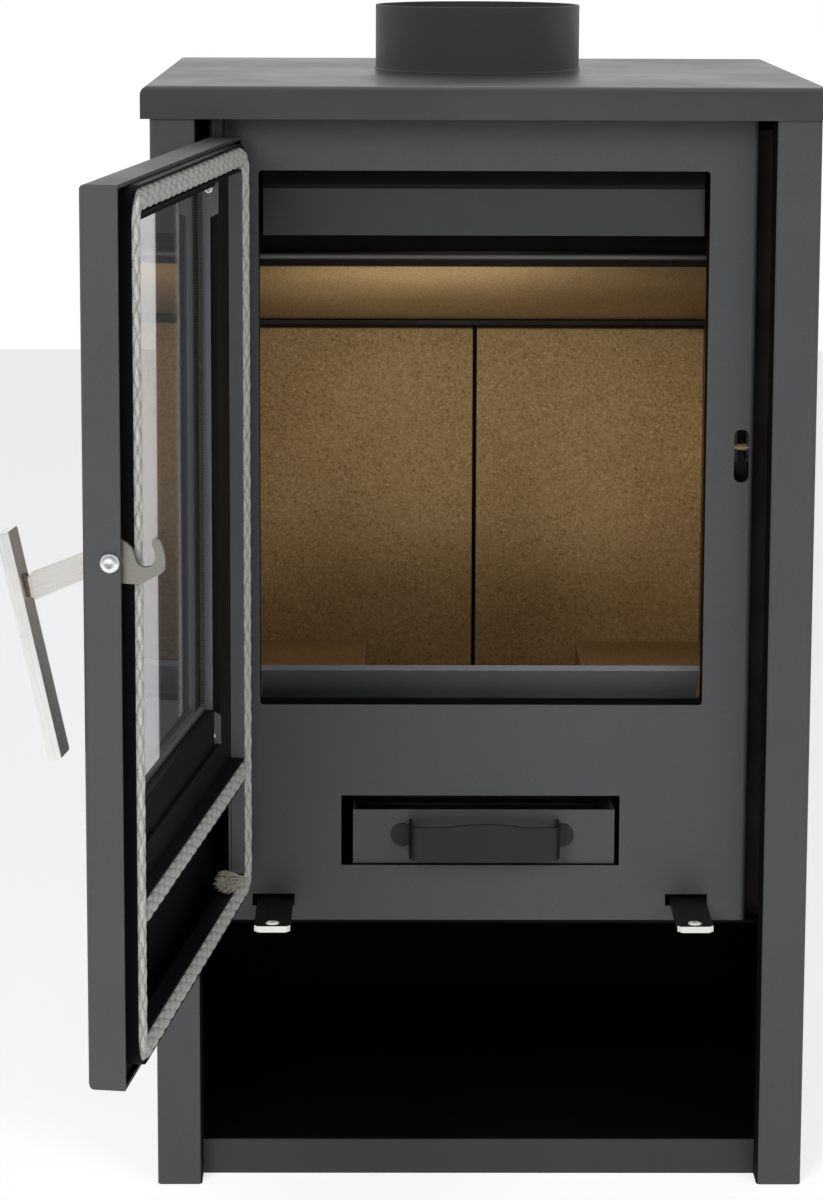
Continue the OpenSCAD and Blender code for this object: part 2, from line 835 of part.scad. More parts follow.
module hinge_bracket(z) {
    color(dark_paint) difference() {
        block([hinge_x - bracket_w / 2, hinge_x + bracket_w / 2], [bracket_front, plate_y], [z, z + bracket_t]);
        rod_z([hinge_x, hinge_y, z - eps], pin_r, bracket_t + 2 * eps);
    }
}
module hinge_bracket_upper() { hinge_bracket(upper_bracket_z); }
module hinge_bracket_lower() { hinge_bracket(lower_bracket_z); }

module hinge_pin_upper() {
    collar_z = door_z1 + slide_gap;
    color(dark_paint) {
        rod_z([hinge_x, hinge_y, door_z1 - 8], pin_r, upper_bracket_z + bracket_t - door_z1 + 8);
        rod_z([hinge_x, hinge_y, collar_z], pin_r + 2, upper_bracket_z - collar_z);
    }
}

module hinge_pin_lower() {
    collar_z = lower_bracket_z + bracket_t;
    color(dark_paint) {
        rod_z([hinge_x, hinge_y, lower_bracket_z], pin_r, door_z0 + 8 - lower_bracket_z);
        rod_z([hinge_x, hinge_y, collar_z], pin_r + 3, door_z0 - slide_gap - collar_z);
    }
}

// ---- Latch ----

// U bracket behind the front plate, its cheeks reaching into the slot
module latch_keeper() {
    half = keeper_gap / 2;
    z = [latch_z - keeper_h / 2, latch_z + keeper_h / 2];
    color(inner_steel) difference() {
        union() {
            for (x = [latch_x - half - keeper_t, latch_x + half])
                block([x, x + keeper_t], [plate_y + 0.3, keeper_back], z);
            block([latch_x - half - keeper_t, latch_x + half + keeper_t], [keeper_back - keeper_t, keeper_back], z);
            block([latch_x - half - keeper_foot, latch_x - half - keeper_t + eps / 2],
                  [plate_inner_y, plate_inner_y + keeper_t], z);
        }
        rod_x([latch_x - half - keeper_t - eps, latch_y, latch_z], keeper_r, keeper_gap + 2 * (keeper_t + eps));
    }
}

module latch_pin() {
    l = keeper_gap + 2 * keeper_t;
    color(bare_steel) rod_x([latch_x - l / 2, latch_y, latch_z], keeper_r, l);
}

// ---- Door ----

// Pressed pan with the window and the slot for the handle's arm
module door_shell() {
    color(paint) door_place() difference() {
        translate([0, 0, door_z1]) rotate([-90, 0, 0]) pressed_tray(door_w, door_h, pan_d, pan_t, pan_r);
        upright([-eps, pan_t + eps]) {
            round_rect([door_mid - window_w / 2, door_mid + window_w / 2], [window_z, window_top], window_r);
            round_rect([hook_x - slot_side, hook_x + slot_side - 0.3], [arm_slot_z0, arm_slot_z1], 3.5);
        }
        for (z = [door_z0 - eps, door_z1 - pan_t - eps])
            rod_z([pin_in, pin_deep, z], pin_r + pin_fit, pan_t + 2 * eps);
        rod_x([door_w - pan_t - eps, pivot_y, pivot_z], pivot_r + pin_fit, pan_t + 2 * eps);
    }
}

// Rounded outline that follows the rope's centre line, grown or shrunk
module rope_outline(grow) {
    round_rect([rope_in - grow, door_w - rope_in + grow],
               [rope_z0 - grow, rope_z1 + grow], rope_corner + grow);
}

// Upright wall between two grown outlines of the rope's line
module channel_wall(inner, outer) {
    upright([liner_y, liner_top + channel_h]) difference() {
        rope_outline(outer);
        rope_outline(inner);
    }
}

// Inner sheet of the door: rope channels, flanged window hole and the bay for the drawer's bow
module door_liner() {
    bay = [bay_x, door_w - bay_x];
    rope_x = [rope_in + channel_half, door_w - rope_in - channel_half];
    color(paint) door_place() {
        difference() {
            upright([liner_y, liner_top]) difference() {
                translate([pan_t, door_z0 + pan_t]) square([door_w - 2 * pan_t, door_h - 2 * pan_t]);
                translate([hole_x0, hole_z0]) square([hole_x1 - hole_x0, hole_z1 - hole_z0]);
                round_rect(bay, [bay_z0, bay_z1], 6);
                translate([hook_x - 4, notch_z0]) square([door_w, notch_z1 - notch_z0]);
            }
        }
        upright([liner_y - 5.5, liner_top]) difference() {
            translate([hole_x0 - liner_t, hole_z0 - liner_t])
                square([hole_x1 - hole_x0 + 2 * liner_t, hole_z1 - hole_z0 + 2 * liner_t]);
            translate([hole_x0, hole_z0]) square([hole_x1 - hole_x0, hole_z1 - hole_z0]);
        }
        channel_wall(channel_half, channel_half + liner_t);
        channel_wall(-channel_half - liner_t, -channel_half);
        for (z = [mid_rope_z - mid_half - liner_t, mid_rope_z + mid_half])
            block(rope_x, [liner_y, liner_top + channel_h], [z, z + liner_t]);
    }
}

module door_glass() {
    color(glass_tint) door_place() block(
        [door_mid - window_w / 2 - glass_over_x, door_mid + window_w / 2 + glass_over_x],
        [glass_y, glass_y + glass_t], [window_z - glass_over_low, window_top + glass_over_top]);
}

module glass_gasket() {
    color(rope_white) door_place() upright([gasket_y, gasket_y + gasket_t]) difference() {
        round_rect([door_mid - window_w / 2 - glass_over_x + 1, door_mid + window_w / 2 + glass_over_x - 1],
                   [window_z - glass_over_low + 1, window_top + glass_over_top - 1], 6);
        round_rect([door_mid - window_w / 2 - gasket_lip, door_mid + window_w / 2 + gasket_lip],
                   [window_z + 4, window_top], 5);
    }
}

// Angle strip that holds the glass: foot on the gasket, standing leg against the liner's flange
module side_retainer() {
    z = [hole_z0 + 0.2, hole_z1 - 0.2];
    block([hole_x0 - foot_w, hole_x0 + stand_t], [seat_y, seat_y + strip_t], z);
    block([hole_x0, hole_x0 + stand_t], [seat_y, stand_top], z);
}
module glass_retainer_left() { color(paint) door_place() side_retainer(); }
module glass_retainer_right() {
    color(paint) door_place() translate([door_w, 0, 0]) mirrored() side_retainer();
}

module level_retainer(z, lip, face_y) {
    x = [hole_x0 + stand_t + strip_gap, hole_x1 - stand_t - strip_gap];
    block(x, [face_y - strip_t, face_y], z);
    block(x, [seat_y, face_y], lip);
}
module glass_retainer_top() {
    z = window_top + 2;
    color(paint) door_place() level_retainer([z, hole_z1 - 0.2], [z, z + strip_t], top_strip_y);
}
module glass_retainer_bottom() {
    z = window_z + 2;
    color(paint) door_place() level_retainer([hole_z0 + 0.2, z], [z - strip_t, z], low_strip_y);
}

module retainer_screws() {
    color(zinc) door_place() for (z = [hole_z0 + retainer_screw_in, hole_z1 - retainer_screw_in]) {
        rod_x([hole_x0 + stand_t, retainer_screw_y, z], 3, 1.8);
        rod_x([hole_x1 - stand_t - 1.8, retainer_screw_y, z], 3, 1.8);
    }
}

// Sealing rope: four straight runs and four round corners
module door_rope() {
    x0 = rope_in;
    x1 = door_w - rope_in;
    c = rope_corner;
    color(rope_white) door_place() {
        for (z = [rope_z0, rope_z1]) rod_x([x0 + c, rope_y, z], rope_r, x1 - x0 - 2 * c);
        for (x = [x0, x1]) rod_z([x, rope_y, rope_z0 + c], rope_r, rope_z1 - rope_z0 - 2 * c);
        for (k = [[x1 - c, rope_z1 - c, 0], [x0 + c, rope_z1 - c, 90], [x0 + c, rope_z0 + c, 180],
                  [x1 - c, rope_z0 + c, 270]])
            translate([k[0], rope_y, k[1]]) rotate([90, -k[2], 0])
                rotate_extrude(angle = 90) translate([c, 0]) circle(rope_r);
    }
}

module door_mid_rope() {
    x0 = rope_in + channel_half + liner_t;
    color(rope_white) door_place() rod_x([x0, rope_y, mid_rope_z], rope_r, door_w - 2 * x0);
}

// Frayed end of the rope, tied off at the lower hinge-side corner and opening towards the free edge
module rope_tail() {
    z = rope_z0 + channel_half + 1.5 + tail_knot_r;
    y = liner_top + channel_h + 0.2 + tail_knot_r;
    color(rope_white) door_place() translate([rope_in + 26, y, z]) {
        sphere(tail_knot_r);
        rotate([0, 78, -12.5]) cylinder(r1 = tail_knot_r * 0.9, r2 = tail_r, h = tail_l);
    }
}

// ---- Handle ----

// Lever plate: arm through the door's face, pivot eye, and a hook that drops over the keeper's pin
module handle_lever() {
    pin_far = latch_y - door_y - pivot_y;
    notch_in = pin_far - keeper_r - 2.2;
    notch_out = pin_far + keeper_r + 1;
    color(bare_steel) door_place() sideways([hook_x0, hook_x1]) translate([pivot_y, pivot_z]) difference() {
        union() {
            circle(12);
            translate([20, -1.6]) circle(11);
            polygon([[-4, -11.6], [16, -11.9], [31, -1.4], [25.2, 12.4], [20.6, 9.8], [14.2, 9.5], [6.6, 11.8],
                     [-4, 11.4]]);
            polygon([[-3, 10.9], [-16.4, 4.8], [-46.4, -7.6], [-48.6, -10.4], [-51.4, -10.6], [-49, -21],
                     [-45, -23.8], [-16.4, -11.2], [-4, -11.4]]);
        }
        circle(pivot_r + pin_fit);
        intersection() {
            difference() {
                circle(notch_out);
                circle(notch_in);
            }
            polygon([[0, 0], [60, -8.4], [60, 60], [0, 60]]);
        }
    }
}

// Flat bar across the arm's end
module handle_grip() {
    color(bare_steel) door_place() translate([hook_x, grip_y, grip_z]) rotate([grip_tilt, 0, 0])
        cube([grip_w, grip_t, grip_l], center = true);
}

module pivot_screw() {
    shank = door_w - (hook_x0 - face_gap - 2);
    color(zinc) door_place() {
        rod_x([door_w - shank, pivot_y, pivot_z], pivot_r, shank);
        translate([door_w, pivot_y, pivot_z]) rotate([0, 90, 0]) rotate_extrude() intersection() {
            translate([0, screw_cap_h - screw_dome_r]) circle(screw_dome_r);
            square([screw_cap_r, screw_cap_h]);
        }
    }
}

module pivot_washer() {
    x0 = hook_x1 + face_gap;
    color(bare_steel) door_place() difference() {
        rod_x([x0, pivot_y, pivot_z], washer_r - 1.5, door_w - pan_t - x0);
        rod_x([x0 - eps, pivot_y, pivot_z], pivot_r, door_w - pan_t - x0 + 2 * eps);
    }
}

module pivot_nut() {
    x0 = hook_x0 - face_gap - 2;
    color(zinc) door_place() difference() {
        translate([x0, pivot_y, pivot_z]) rotate([0, 90, 0]) cylinder(r = nut_r, h = 2, $fn = 6);
        rod_x([x0 - eps, pivot_y, pivot_z], pivot_r, 2 + 2 * eps);
    }
}

left_side_panel();
right_side_panel();
back_panel();
panel_screws();
top_plate();
flue_collar();
plinth();
log_floor();
log_back();
log_ceiling();
front_plate();
firebox_front();
firebox_left();
firebox_right();
firebox_back();
firebox_top();
firebox_floor();
ash_floor();
deflector();
log_retainer();
back_brick_left();
back_brick_right();
side_brick_left();
side_brick_right();
floor_brick_left();
floor_brick_right();
grate();
baffle();
baffle_bar();
baffle_ledge();
baffle_pegs();
air_guide_left();
air_guide_right();
latch_keeper();
latch_pin();
hinge_bracket_upper();
hinge_bracket_lower();
hinge_pin_upper();
hinge_pin_lower();
ash_drawer();
drawer_handle();
primary_air_lever();
secondary_air_lever();
door_shell();
door_liner();
door_glass();
glass_gasket();
glass_retainer_left();
glass_retainer_right();
glass_retainer_top();
glass_retainer_bottom();
retainer_screws();
door_rope();
door_mid_rope();
rope_tail();
handle_lever();
handle_grip();
pivot_screw();
pivot_washer();
pivot_nut();
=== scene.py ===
"""Looks of a sheet-steel wood stove with its glazed door open.

Metres, +Z up, the front looks along -Y. A place on the door is (u, n, z) in millimetres: u along
it from its hinge edge, n into it from its outer face towards the fire, z up.
"""
import json
import math
import random

import bmesh
import bpy
from mathutils import Matrix, Vector, noise

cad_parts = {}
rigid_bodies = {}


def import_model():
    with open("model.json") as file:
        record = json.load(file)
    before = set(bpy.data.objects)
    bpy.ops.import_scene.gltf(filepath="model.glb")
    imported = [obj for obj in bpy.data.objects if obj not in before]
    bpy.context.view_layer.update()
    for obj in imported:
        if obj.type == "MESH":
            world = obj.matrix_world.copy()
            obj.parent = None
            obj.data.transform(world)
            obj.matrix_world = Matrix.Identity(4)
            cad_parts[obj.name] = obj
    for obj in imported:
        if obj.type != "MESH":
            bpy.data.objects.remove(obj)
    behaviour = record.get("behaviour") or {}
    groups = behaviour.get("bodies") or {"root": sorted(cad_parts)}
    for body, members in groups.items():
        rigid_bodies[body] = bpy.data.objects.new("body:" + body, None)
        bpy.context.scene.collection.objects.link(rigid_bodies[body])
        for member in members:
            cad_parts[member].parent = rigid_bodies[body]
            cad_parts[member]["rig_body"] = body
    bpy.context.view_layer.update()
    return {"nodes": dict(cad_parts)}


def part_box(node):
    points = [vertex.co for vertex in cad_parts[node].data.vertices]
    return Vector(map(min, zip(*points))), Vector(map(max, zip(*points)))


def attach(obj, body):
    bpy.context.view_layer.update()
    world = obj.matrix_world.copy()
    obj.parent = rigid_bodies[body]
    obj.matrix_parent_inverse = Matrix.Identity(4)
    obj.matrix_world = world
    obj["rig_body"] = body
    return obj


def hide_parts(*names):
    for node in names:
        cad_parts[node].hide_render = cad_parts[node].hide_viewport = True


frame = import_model()
nodes = frame["nodes"]
scene = bpy.context.scene
scene.view_settings.view_transform = "Standard"
MM = 0.001
WHITE = (1.0, 1.0, 1.0, 1.0)
ACROSS = Vector((1, 0, 0))
BACKWARD = Vector((0, 1, 0))
UP = Vector((0, 0, 1))
FRONT_Y, BACK_Y = -0.194, 0.194

# The open door's own frame, whose hinge axis lies at (HINGE_U, HINGE_N)
DOOR_OPEN = math.radians(98)
HINGE_U, HINGE_N = 12, 8
HINGE = Vector((-0.1803, FRONT_Y + 0.0085, 0))
ALONG_DOOR = Vector((math.cos(DOOR_OPEN), -math.sin(DOOR_OPEN), 0))
INTO_DOOR = Vector((math.sin(DOOR_OPEN), math.cos(DOOR_OPEN), 0))

# Latch lever on the door, millimetres: pivot, face on the free edge, thickness
PIVOT_N, PIVOT_Z = 16.4, 517.2
LEVER_U, LEVER_T = 369.15, 3.7


def door_point(u, n, z):
    """Point of the open door, from millimetres along it, into it and up."""
    off = ALONG_DOOR * (u - HINGE_U) * MM, INTO_DOOR * (n - HINGE_N) * MM, UP * z * MM
    return HINGE + off[0] + off[1] + off[2]


def door_place(point):
    """The way back from a point to millimetres along the door, into it and up."""
    off = Vector(point) - HINGE
    return off.dot(ALONG_DOOR) / MM + HINGE_U, off.dot(INTO_DOOR) / MM + HINGE_N, off.z / MM


# ---- Shader helpers ----

# Sockets of the colour mix node
COLOUR_A, COLOUR_B, COLOUR_OUT = 6, 7, 2


def add(tree, kind, settings=None, **sockets):
    """A shader node; a socket is named with _ for a space and takes a value or another socket."""
    made = tree.nodes.new("ShaderNode" + kind)
    for name, value in (settings or {}).items():
        setattr(made, name, value)
    for name, value in sockets.items():
        put(tree, made.inputs[name.replace("_", " ")], value)
    return made


def put(tree, socket, value):
    if isinstance(value, bpy.types.NodeSocket):
        tree.links.new(value, socket)
    else:
        socket.default_value = value


def maths(tree, kind, *values):
    made = add(tree, "Math", {"operation": kind})
    for socket, value in zip(made.inputs, values):
        put(tree, socket, value)
    return made.outputs[0]


def mixed(tree, share, first, second):
    made = add(tree, "Mix", {"data_type": "RGBA"})
    for index, value in ((0, share), (COLOUR_A, first), (COLOUR_B, second)):
        put(tree, made.inputs[index], value)
    return made.outputs[COLOUR_OUT]


def mixed_shaders(tree, share, first, second):
    made = add(tree, "MixShader")
    for socket, value in zip(made.inputs, (share, first, second)):
        put(tree, socket, value)
    return made.outputs[0]


def ranged(tree, value, low, high, to_low=0.0, to_high=1.0):
    """The value's way from low to high, eased, as a way from to_low to to_high."""
    made = add(tree, "MapRange", {"interpolation_type": "SMOOTHSTEP"}, Value=value,
               From_Min=low, From_Max=high, To_Min=to_low, To_Max=to_high)
    return made.outputs[0]


def cloud(tree, where, scale, detail=3.0, rough=0.55):
    made = add(tree, "TexNoise", Vector=where, Scale=scale, Detail=detail, Roughness=rough)
    return made.outputs["Fac"]


def own_place(tree):
    """The piece's own coordinates."""
    return add(tree, "TexCoord").outputs["Object"]


def new_group(name, inputs, outputs):
    """Empty shader node group: inputs by name and first value, outputs by name, all numbers."""
    tree = bpy.data.node_groups.new(name, "ShaderNodeTree")
    for label, value in inputs.items():
        kind = "NodeSocketFloat" if isinstance(value, float) else "NodeSocketVector"
        socket = tree.interface.new_socket(label, in_out="INPUT", socket_type=kind)
        socket.default_value = value
    for label in outputs:
        tree.interface.new_socket(label, in_out="OUTPUT", socket_type="NodeSocketFloat")
    return tree, tree.nodes.new("NodeGroupInput").outputs, tree.nodes.new("NodeGroupOutput").inputs


def place_group(tree, group, **sockets):
    return add(tree, "Group", {"node_tree": group}, **sockets).outputs


def powder_grain_group():
    """Fine sandy grain of stove paint, with slow clouds of colour and gloss."""
    tree, inp, out = new_group("powder_grain", {"Grain": 900.0, "Clouds": 14.0},
                               ("Height", "Clouds", "Specks"))
    where = own_place(tree)
    fine = cloud(tree, where, inp["Grain"], 2.0, 0.6)
    broad = cloud(tree, where, inp["Clouds"], 4.0, 0.6)
    coarse = cloud(tree, where, maths(tree, "MULTIPLY", inp["Grain"], 0.31), 2.0, 0.5)
    tree.links.new(maths(tree, "MULTIPLY_ADD", coarse, 0.6, fine), out["Height"])
    tree.links.new(ranged(tree, broad, 0.3, 0.7), out["Clouds"])
    tree.links.new(ranged(tree, fine, 0.6, 0.72), out["Specks"])
    return tree


def edge_wear_group():
    """Mask that is 1 on sharp outer edges, broken up by noise."""
    tree, inp, out = new_group("edge_wear", {"Width": 0.0012, "Breaks": 130.0}, ("Mask",))
    round_off = add(tree, "Bevel", {"samples": 4}, Radius=inp["Width"])
    flat = add(tree, "NewGeometry").outputs["Normal"]
    dot = add(tree, "VectorMath", {"operation": "DOT_PRODUCT"})
    tree.links.new(round_off.outputs[0], dot.inputs[0])
    tree.links.new(flat, dot.inputs[1])
    breaks = ranged(tree, cloud(tree, own_place(tree), inp["Breaks"], 3.0, 0.6), 0.35, 0.62)
    edge = ranged(tree, maths(tree, "SUBTRACT", 1.0, dot.outputs["Value"]), 0.02, 0.16)
    tree.links.new(maths(tree, "MULTIPLY", edge, breaks), out["Mask"])
    return tree


def brushed_group():
    """Long fine scratches that run along the piece's own turned Z."""
    tree, inp, out = new_group("brushed_lines", {"Turn": Vector((0, 0, 0)), "Fineness": 1400.0},
                               ("Lines", "Height"))
    spun = add(tree, "VectorRotate", {"rotation_type": "EULER_XYZ"},
               Vector=own_place(tree), Rotation=inp["Turn"])
    squeezed = add(tree, "Mapping", Vector=spun.outputs[0], Scale=(1, 1, 0.02))
    lines = cloud(tree, squeezed.outputs[0], inp["Fineness"], 3.0, 0.7)
    tree.links.new(ranged(tree, lines, 0.25, 0.75), out["Lines"])
    tree.links.new(lines, out["Height"])
    return tree


def fibre_group():
    """Fibres that follow the piece's UV, u along the yarn and v round it, and its painted groove
    shade.
    """
    tree, inp, out = new_group("yarn_fibres", {"Along": 60.0, "Round": 9.0, "Slant": 0.6},
                               ("Fibres", "GrooveShade"))
    uv = add(tree, "UVMap", {"uv_map": "yarn"}).outputs[0]
    groove = add(tree, "Attribute", {"attribute_name": "groove"}).outputs["Fac"]
    split = add(tree, "SeparateXYZ", Vector=uv)
    along = maths(tree, "MULTIPLY", split.outputs[0], inp["Along"])
    slanted = maths(tree, "MULTIPLY", along, inp["Slant"])
    around = maths(tree, "MULTIPLY_ADD", split.outputs[1], inp["Round"], slanted)
    where = add(tree, "CombineXYZ", X=along, Y=around).outputs[0]
    tree.links.new(cloud(tree, where, 6.0, 3.0, 0.65), out["Fibres"])
    tree.links.new(groove, out["GrooveShade"])
    return tree


GRAIN = powder_grain_group()
WEAR = edge_wear_group()
BRUSHED = brushed_group()
YARN = fibre_group()


# ---- Materials ----

def new_material(name, **plain):
    """Material with its Principled shader, whose plain values are set on its own sockets."""
    made = bpy.data.materials.new(name)
    made.use_nodes = True
    tree = made.node_tree
    tree.nodes.clear()
    shader = add(tree, "BsdfPrincipled", **plain)
    out = add(tree, "OutputMaterial")
    tree.links.new(shader.outputs[0], out.inputs["Surface"])
    return made, tree, shader.inputs


def bumped(tree, surface, height, strength, depth):
    bump = add(tree, "Bump", Strength=strength, Distance=depth, Height=height)
    tree.links.new(bump.outputs[0], surface["Normal"])


def rubbed(tree, edge, worn, body, bare):
    """The body's colour, with the bare colour on worn edges."""
    return mixed(tree, maths(tree, "MULTIPLY", edge["Mask"], worn), body, bare)


def rough_from(tree, surface, mask, span, least):
    """Roughness from least, span further where the mask is 1."""
    tree.links.new(maths(tree, "MULTIPLY_ADD", mask, span, least), surface["Roughness"])


def grey(level, warm=0.0):
    return (level * (1 + warm), level, level * (1 - warm), 1)


def dimmed(colour, share):
    return tuple(part * share for part in colour[:3]) + (1,)


def stove_paint(name, level, gloss, worn, sheen=0.5):
    """Heat-proof paint: dark, satin, with grain, clouds and slightly rubbed edges."""
    made, tree, surface = new_material(name, Specular_IOR_Level=sheen)
    grains = place_group(tree, GRAIN, Grain=900.0, Clouds=9.0)
    edge = place_group(tree, WEAR, Width=0.0009)
    dull, bright = grey(level * 0.92, -0.03), grey(level * 1.08, -0.02)
    body = mixed(tree, grains["Clouds"], dull, bright)
    body = mixed(tree, maths(tree, "MULTIPLY", grains["Specks"], 0.35), body, grey(level * 1.9))
    body = rubbed(tree, edge, worn, body, grey(level * 3.2))
    tree.links.new(body, surface["Base Color"])
    rough_from(tree, surface, grains["Clouds"], 0.1, gloss)
    bumped(tree, surface, grains["Height"], 0.25, 0.00012)
    return made


def sooty_steel():
    """Heat-dulled steel inside the firebox, with brown bloom and soot; its near black is also
    painted shade on the latch keeper in its slot.
    """
    made, tree, surface = new_material("sooty_steel", Metallic=0.0, Specular_IOR_Level=0.25)
    grains = place_group(tree, GRAIN, Grain=520.0, Clouds=22.0)
    edge = place_group(tree, WEAR, Width=0.0012)
    soot, bloom = (0.007, 0.006, 0.005, 1), (0.016, 0.014, 0.012, 1)
    body = mixed(tree, grains["Clouds"], soot, bloom)
    body = rubbed(tree, edge, 0.4, body, (0.1, 0.09, 0.08, 1))
    tree.links.new(body, surface["Base Color"])
    rough_from(tree, surface, grains["Clouds"], -0.15, 0.62)
    bumped(tree, surface, grains["Height"], 0.3, 0.0002)
    return made


def brushed_steel(name, axis, tint, gloss, fineness=1400.0):
    """Bare steel brushed or rolled along this axis."""
    made, tree, surface = new_material(name, Metallic=1.0)
    turn = axis.rotation_difference(UP).to_euler("XYZ")
    lines = place_group(tree, BRUSHED, Turn=turn, Fineness=fineness)
    edge = place_group(tree, WEAR, Width=0.0008, Breaks=60.0)
    body = mixed(tree, lines["Lines"], dimmed(tint, 0.8), tint)
    body = rubbed(tree, edge, 0.4, body, (0.8, 0.79, 0.77, 1))
    tree.links.new(body, surface["Base Color"])
    rough_from(tree, surface, lines["Lines"], 0.16, gloss)
    bumped(tree, surface, lines["Height"], 0.35, 0.00008)
    return made


def zinc_plate():
    """Bright plating of the screws."""
    made, tree, surface = new_material("zinc_plate", Metallic=1.0)
    grains = place_group(tree, GRAIN, Grain=420.0, Clouds=260.0)
    blue, yellow = (0.72, 0.72, 0.74, 1), (0.86, 0.86, 0.84, 1)
    tree.links.new(mixed(tree, grains["Clouds"], blue, yellow), surface["Base Color"])
    rough_from(tree, surface, grains["Clouds"], 0.12, 0.2)
    return made


def pressed_mineral(name, pale, deep, scale):
    """Pressed vermiculite: golden brown with fine pale and dark flakes, and painted shade low
    down.
    """
    made, tree, surface = new_material(name, Roughness=0.9, Specular_IOR_Level=0.2)
    where = own_place(tree)
    broad = cloud(tree, where, 8.0, 3.0, 0.5)
    fleck = cloud(tree, where, 520.0 * scale, 3.0, 0.75)
    flakes = add(tree, "TexVoronoi", Vector=where, Scale=330.0 * scale).outputs["Distance"]
    chips = add(tree, "TexVoronoi", Vector=where, Scale=95.0 * scale).outputs["Distance"]
    # Mask, the span in which it rises, how far it rises, and the colour it brings
    layers = ((fleck, 0.53, 0.7, 0.5, (0.68, 0.5, 0.27, 1)),
              (fleck, 0.47, 0.32, 0.75, (0.1, 0.058, 0.024, 1)),
              (flakes, 0.14, 0.04, 0.5, (0.13, 0.078, 0.035, 1)),
              (chips, 0.09, 0.03, 0.7, (0.05, 0.03, 0.014, 1)))
    body = mixed(tree, ranged(tree, broad, 0.3, 0.7), deep, pale)
    for mask, low, high, most, colour in layers:
        body = mixed(tree, ranged(tree, mask, low, high, 0, most), body, colour)
    # Painted shade low in the firebox, below about half a metre up, with a ragged edge
    height = add(tree, "SeparateXYZ", Vector=where).outputs[2]
    low_shade_line = maths(tree, "MULTIPLY_ADD", broad, 0.1, height)
    body = mixed(tree, ranged(tree, low_shade_line, 0.5, 0.33, 0, 0.5), body, (0.1, 0.045, 0.014, 1))
    edge = place_group(tree, WEAR, Width=0.004, Breaks=70.0)
    body = rubbed(tree, edge, 0.4, body, (0.5, 0.36, 0.2, 1))
    tree.links.new(body, surface["Base Color"])
    bumped(tree, surface, maths(tree, "MULTIPLY_ADD", flakes, 0.5, fleck), 0.7, 0.0006)
    return made


def cast_iron():
    """Rough grey casting with rubbed edges."""
    made, tree, surface = new_material("cast_iron")
    grains = place_group(tree, GRAIN, Grain=380.0, Clouds=40.0)
    edge = place_group(tree, WEAR, Width=0.0015)
    dark, brown = (0.03, 0.028, 0.026, 1), (0.065, 0.055, 0.047, 1)
    body = mixed(tree, grains["Clouds"], dark, brown)
    body = rubbed(tree, edge, 0.5, body, (0.14, 0.12, 0.1, 1))
    tree.links.new(body, surface["Base Color"])
    rough_from(tree, surface, grains["Clouds"], 0.2, 0.5)
    bumped(tree, surface, grains["Height"], 0.7, 0.0006)
    return made


def glass_yarn(name, pale, shade, along, around, slant):
    """White glass-fibre yarn: fibres streaked from pale to a darker tone, partly their own tone
    and partly painted shade, and painted shade in the braid's hollows.
    """
    made, tree, surface = new_material(name, Roughness=0.8, Sheen_Weight=0.2)
    yarn = place_group(tree, YARN, Along=along, Round=around, Slant=slant)
    body = mixed(tree, ranged(tree, yarn["Fibres"], 0.35, 0.65), shade, pale)
    # Painted shade in the hollows between the plaits
    body = mixed(tree, yarn["GrooveShade"], body, dimmed(shade, 0.22))
    tree.links.new(body, surface["Base Color"])
    bumped(tree, surface, yarn["Fibres"], 0.5, 0.0004)
    return made


def woven_tape():
    """Flat gasket tape with a small plain weave, darkened by smoke."""
    made, tree, surface = new_material("woven_tape", Roughness=0.85, Sheen_Weight=0.2)
    where = own_place(tree)
    weave = add(tree, "TexWave", {"bands_direction": "Z"}, Vector=where, Scale=170.0,
                Distortion=2.0).outputs["Fac"]
    fluff = cloud(tree, where, 700.0, 3.0, 0.7)
    body = mixed(tree, weave, (0.035, 0.034, 0.03, 1), (0.07, 0.068, 0.06, 1))
    body = mixed(tree, ranged(tree, fluff, 0.55, 0.35, 0, 0.5), body, (0.02, 0.02, 0.018, 1))
    tree.links.new(body, surface["Base Color"])
    bumped(tree, surface, maths(tree, "ADD", weave, fluff), 0.6, 0.0004)
    return made


def ceramic_glass():
    """Clear heat-proof glass with the faintest haze of soot."""
    made, tree, surface = new_material("ceramic_glass", IOR=1.5, Transmission_Weight=1.0,
                                       Metallic=0.0)
    haze = ranged(tree, cloud(tree, own_place(tree), 7.0, 4.0, 0.6), 0.4, 0.75)
    clear, hazy = (0.93, 0.93, 0.955, 1), (0.88, 0.88, 0.905, 1)
    tree.links.new(mixed(tree, haze, clear, hazy), surface["Base Color"])
    tree.links.new(maths(tree, "MULTIPLY", haze, 0.02), surface["Roughness"])
    return made


# The grip hangs a little off upright, and the arm a little off level
GRIP_TILT = math.radians(12.65)
ARM_TILT = GRIP_TILT + 0.12
GRIP_AXIS = -math.sin(GRIP_TILT) * INTO_DOOR + math.cos(GRIP_TILT) * UP
ARM_AXIS = math.cos(ARM_TILT) * INTO_DOOR + math.sin(ARM_TILT) * UP

# Name, level of grey, roughness, wear of the edges, sheen
PAINT = stove_paint("panel_paint", 0.066, 0.42, 0.3)
LID_PAINT = stove_paint("lid_paint", 0.045, 0.32, 0.25, sheen=0.6)
DARK_PAINT = stove_paint("dark_paint", 0.01, 0.46, 0.25, sheen=0.4)
COLLAR_PAINT = stove_paint("collar_paint", 0.04, 0.46, 0.25, sheen=0.4)
# Painted shade: near-black paint for the log store's inside and for faces in recesses
SHADE_BLACK_PAINT = stove_paint("painted_shade_black", 0.002, 0.7, 0.1, sheen=0.12)
# The liner's black paint, darkened further as painted shade inside the door's pan
LINER_BLACK_AND_SHADE = stove_paint("liner_black_and_shade", 0.005, 0.5, 0.4, sheen=0.16)
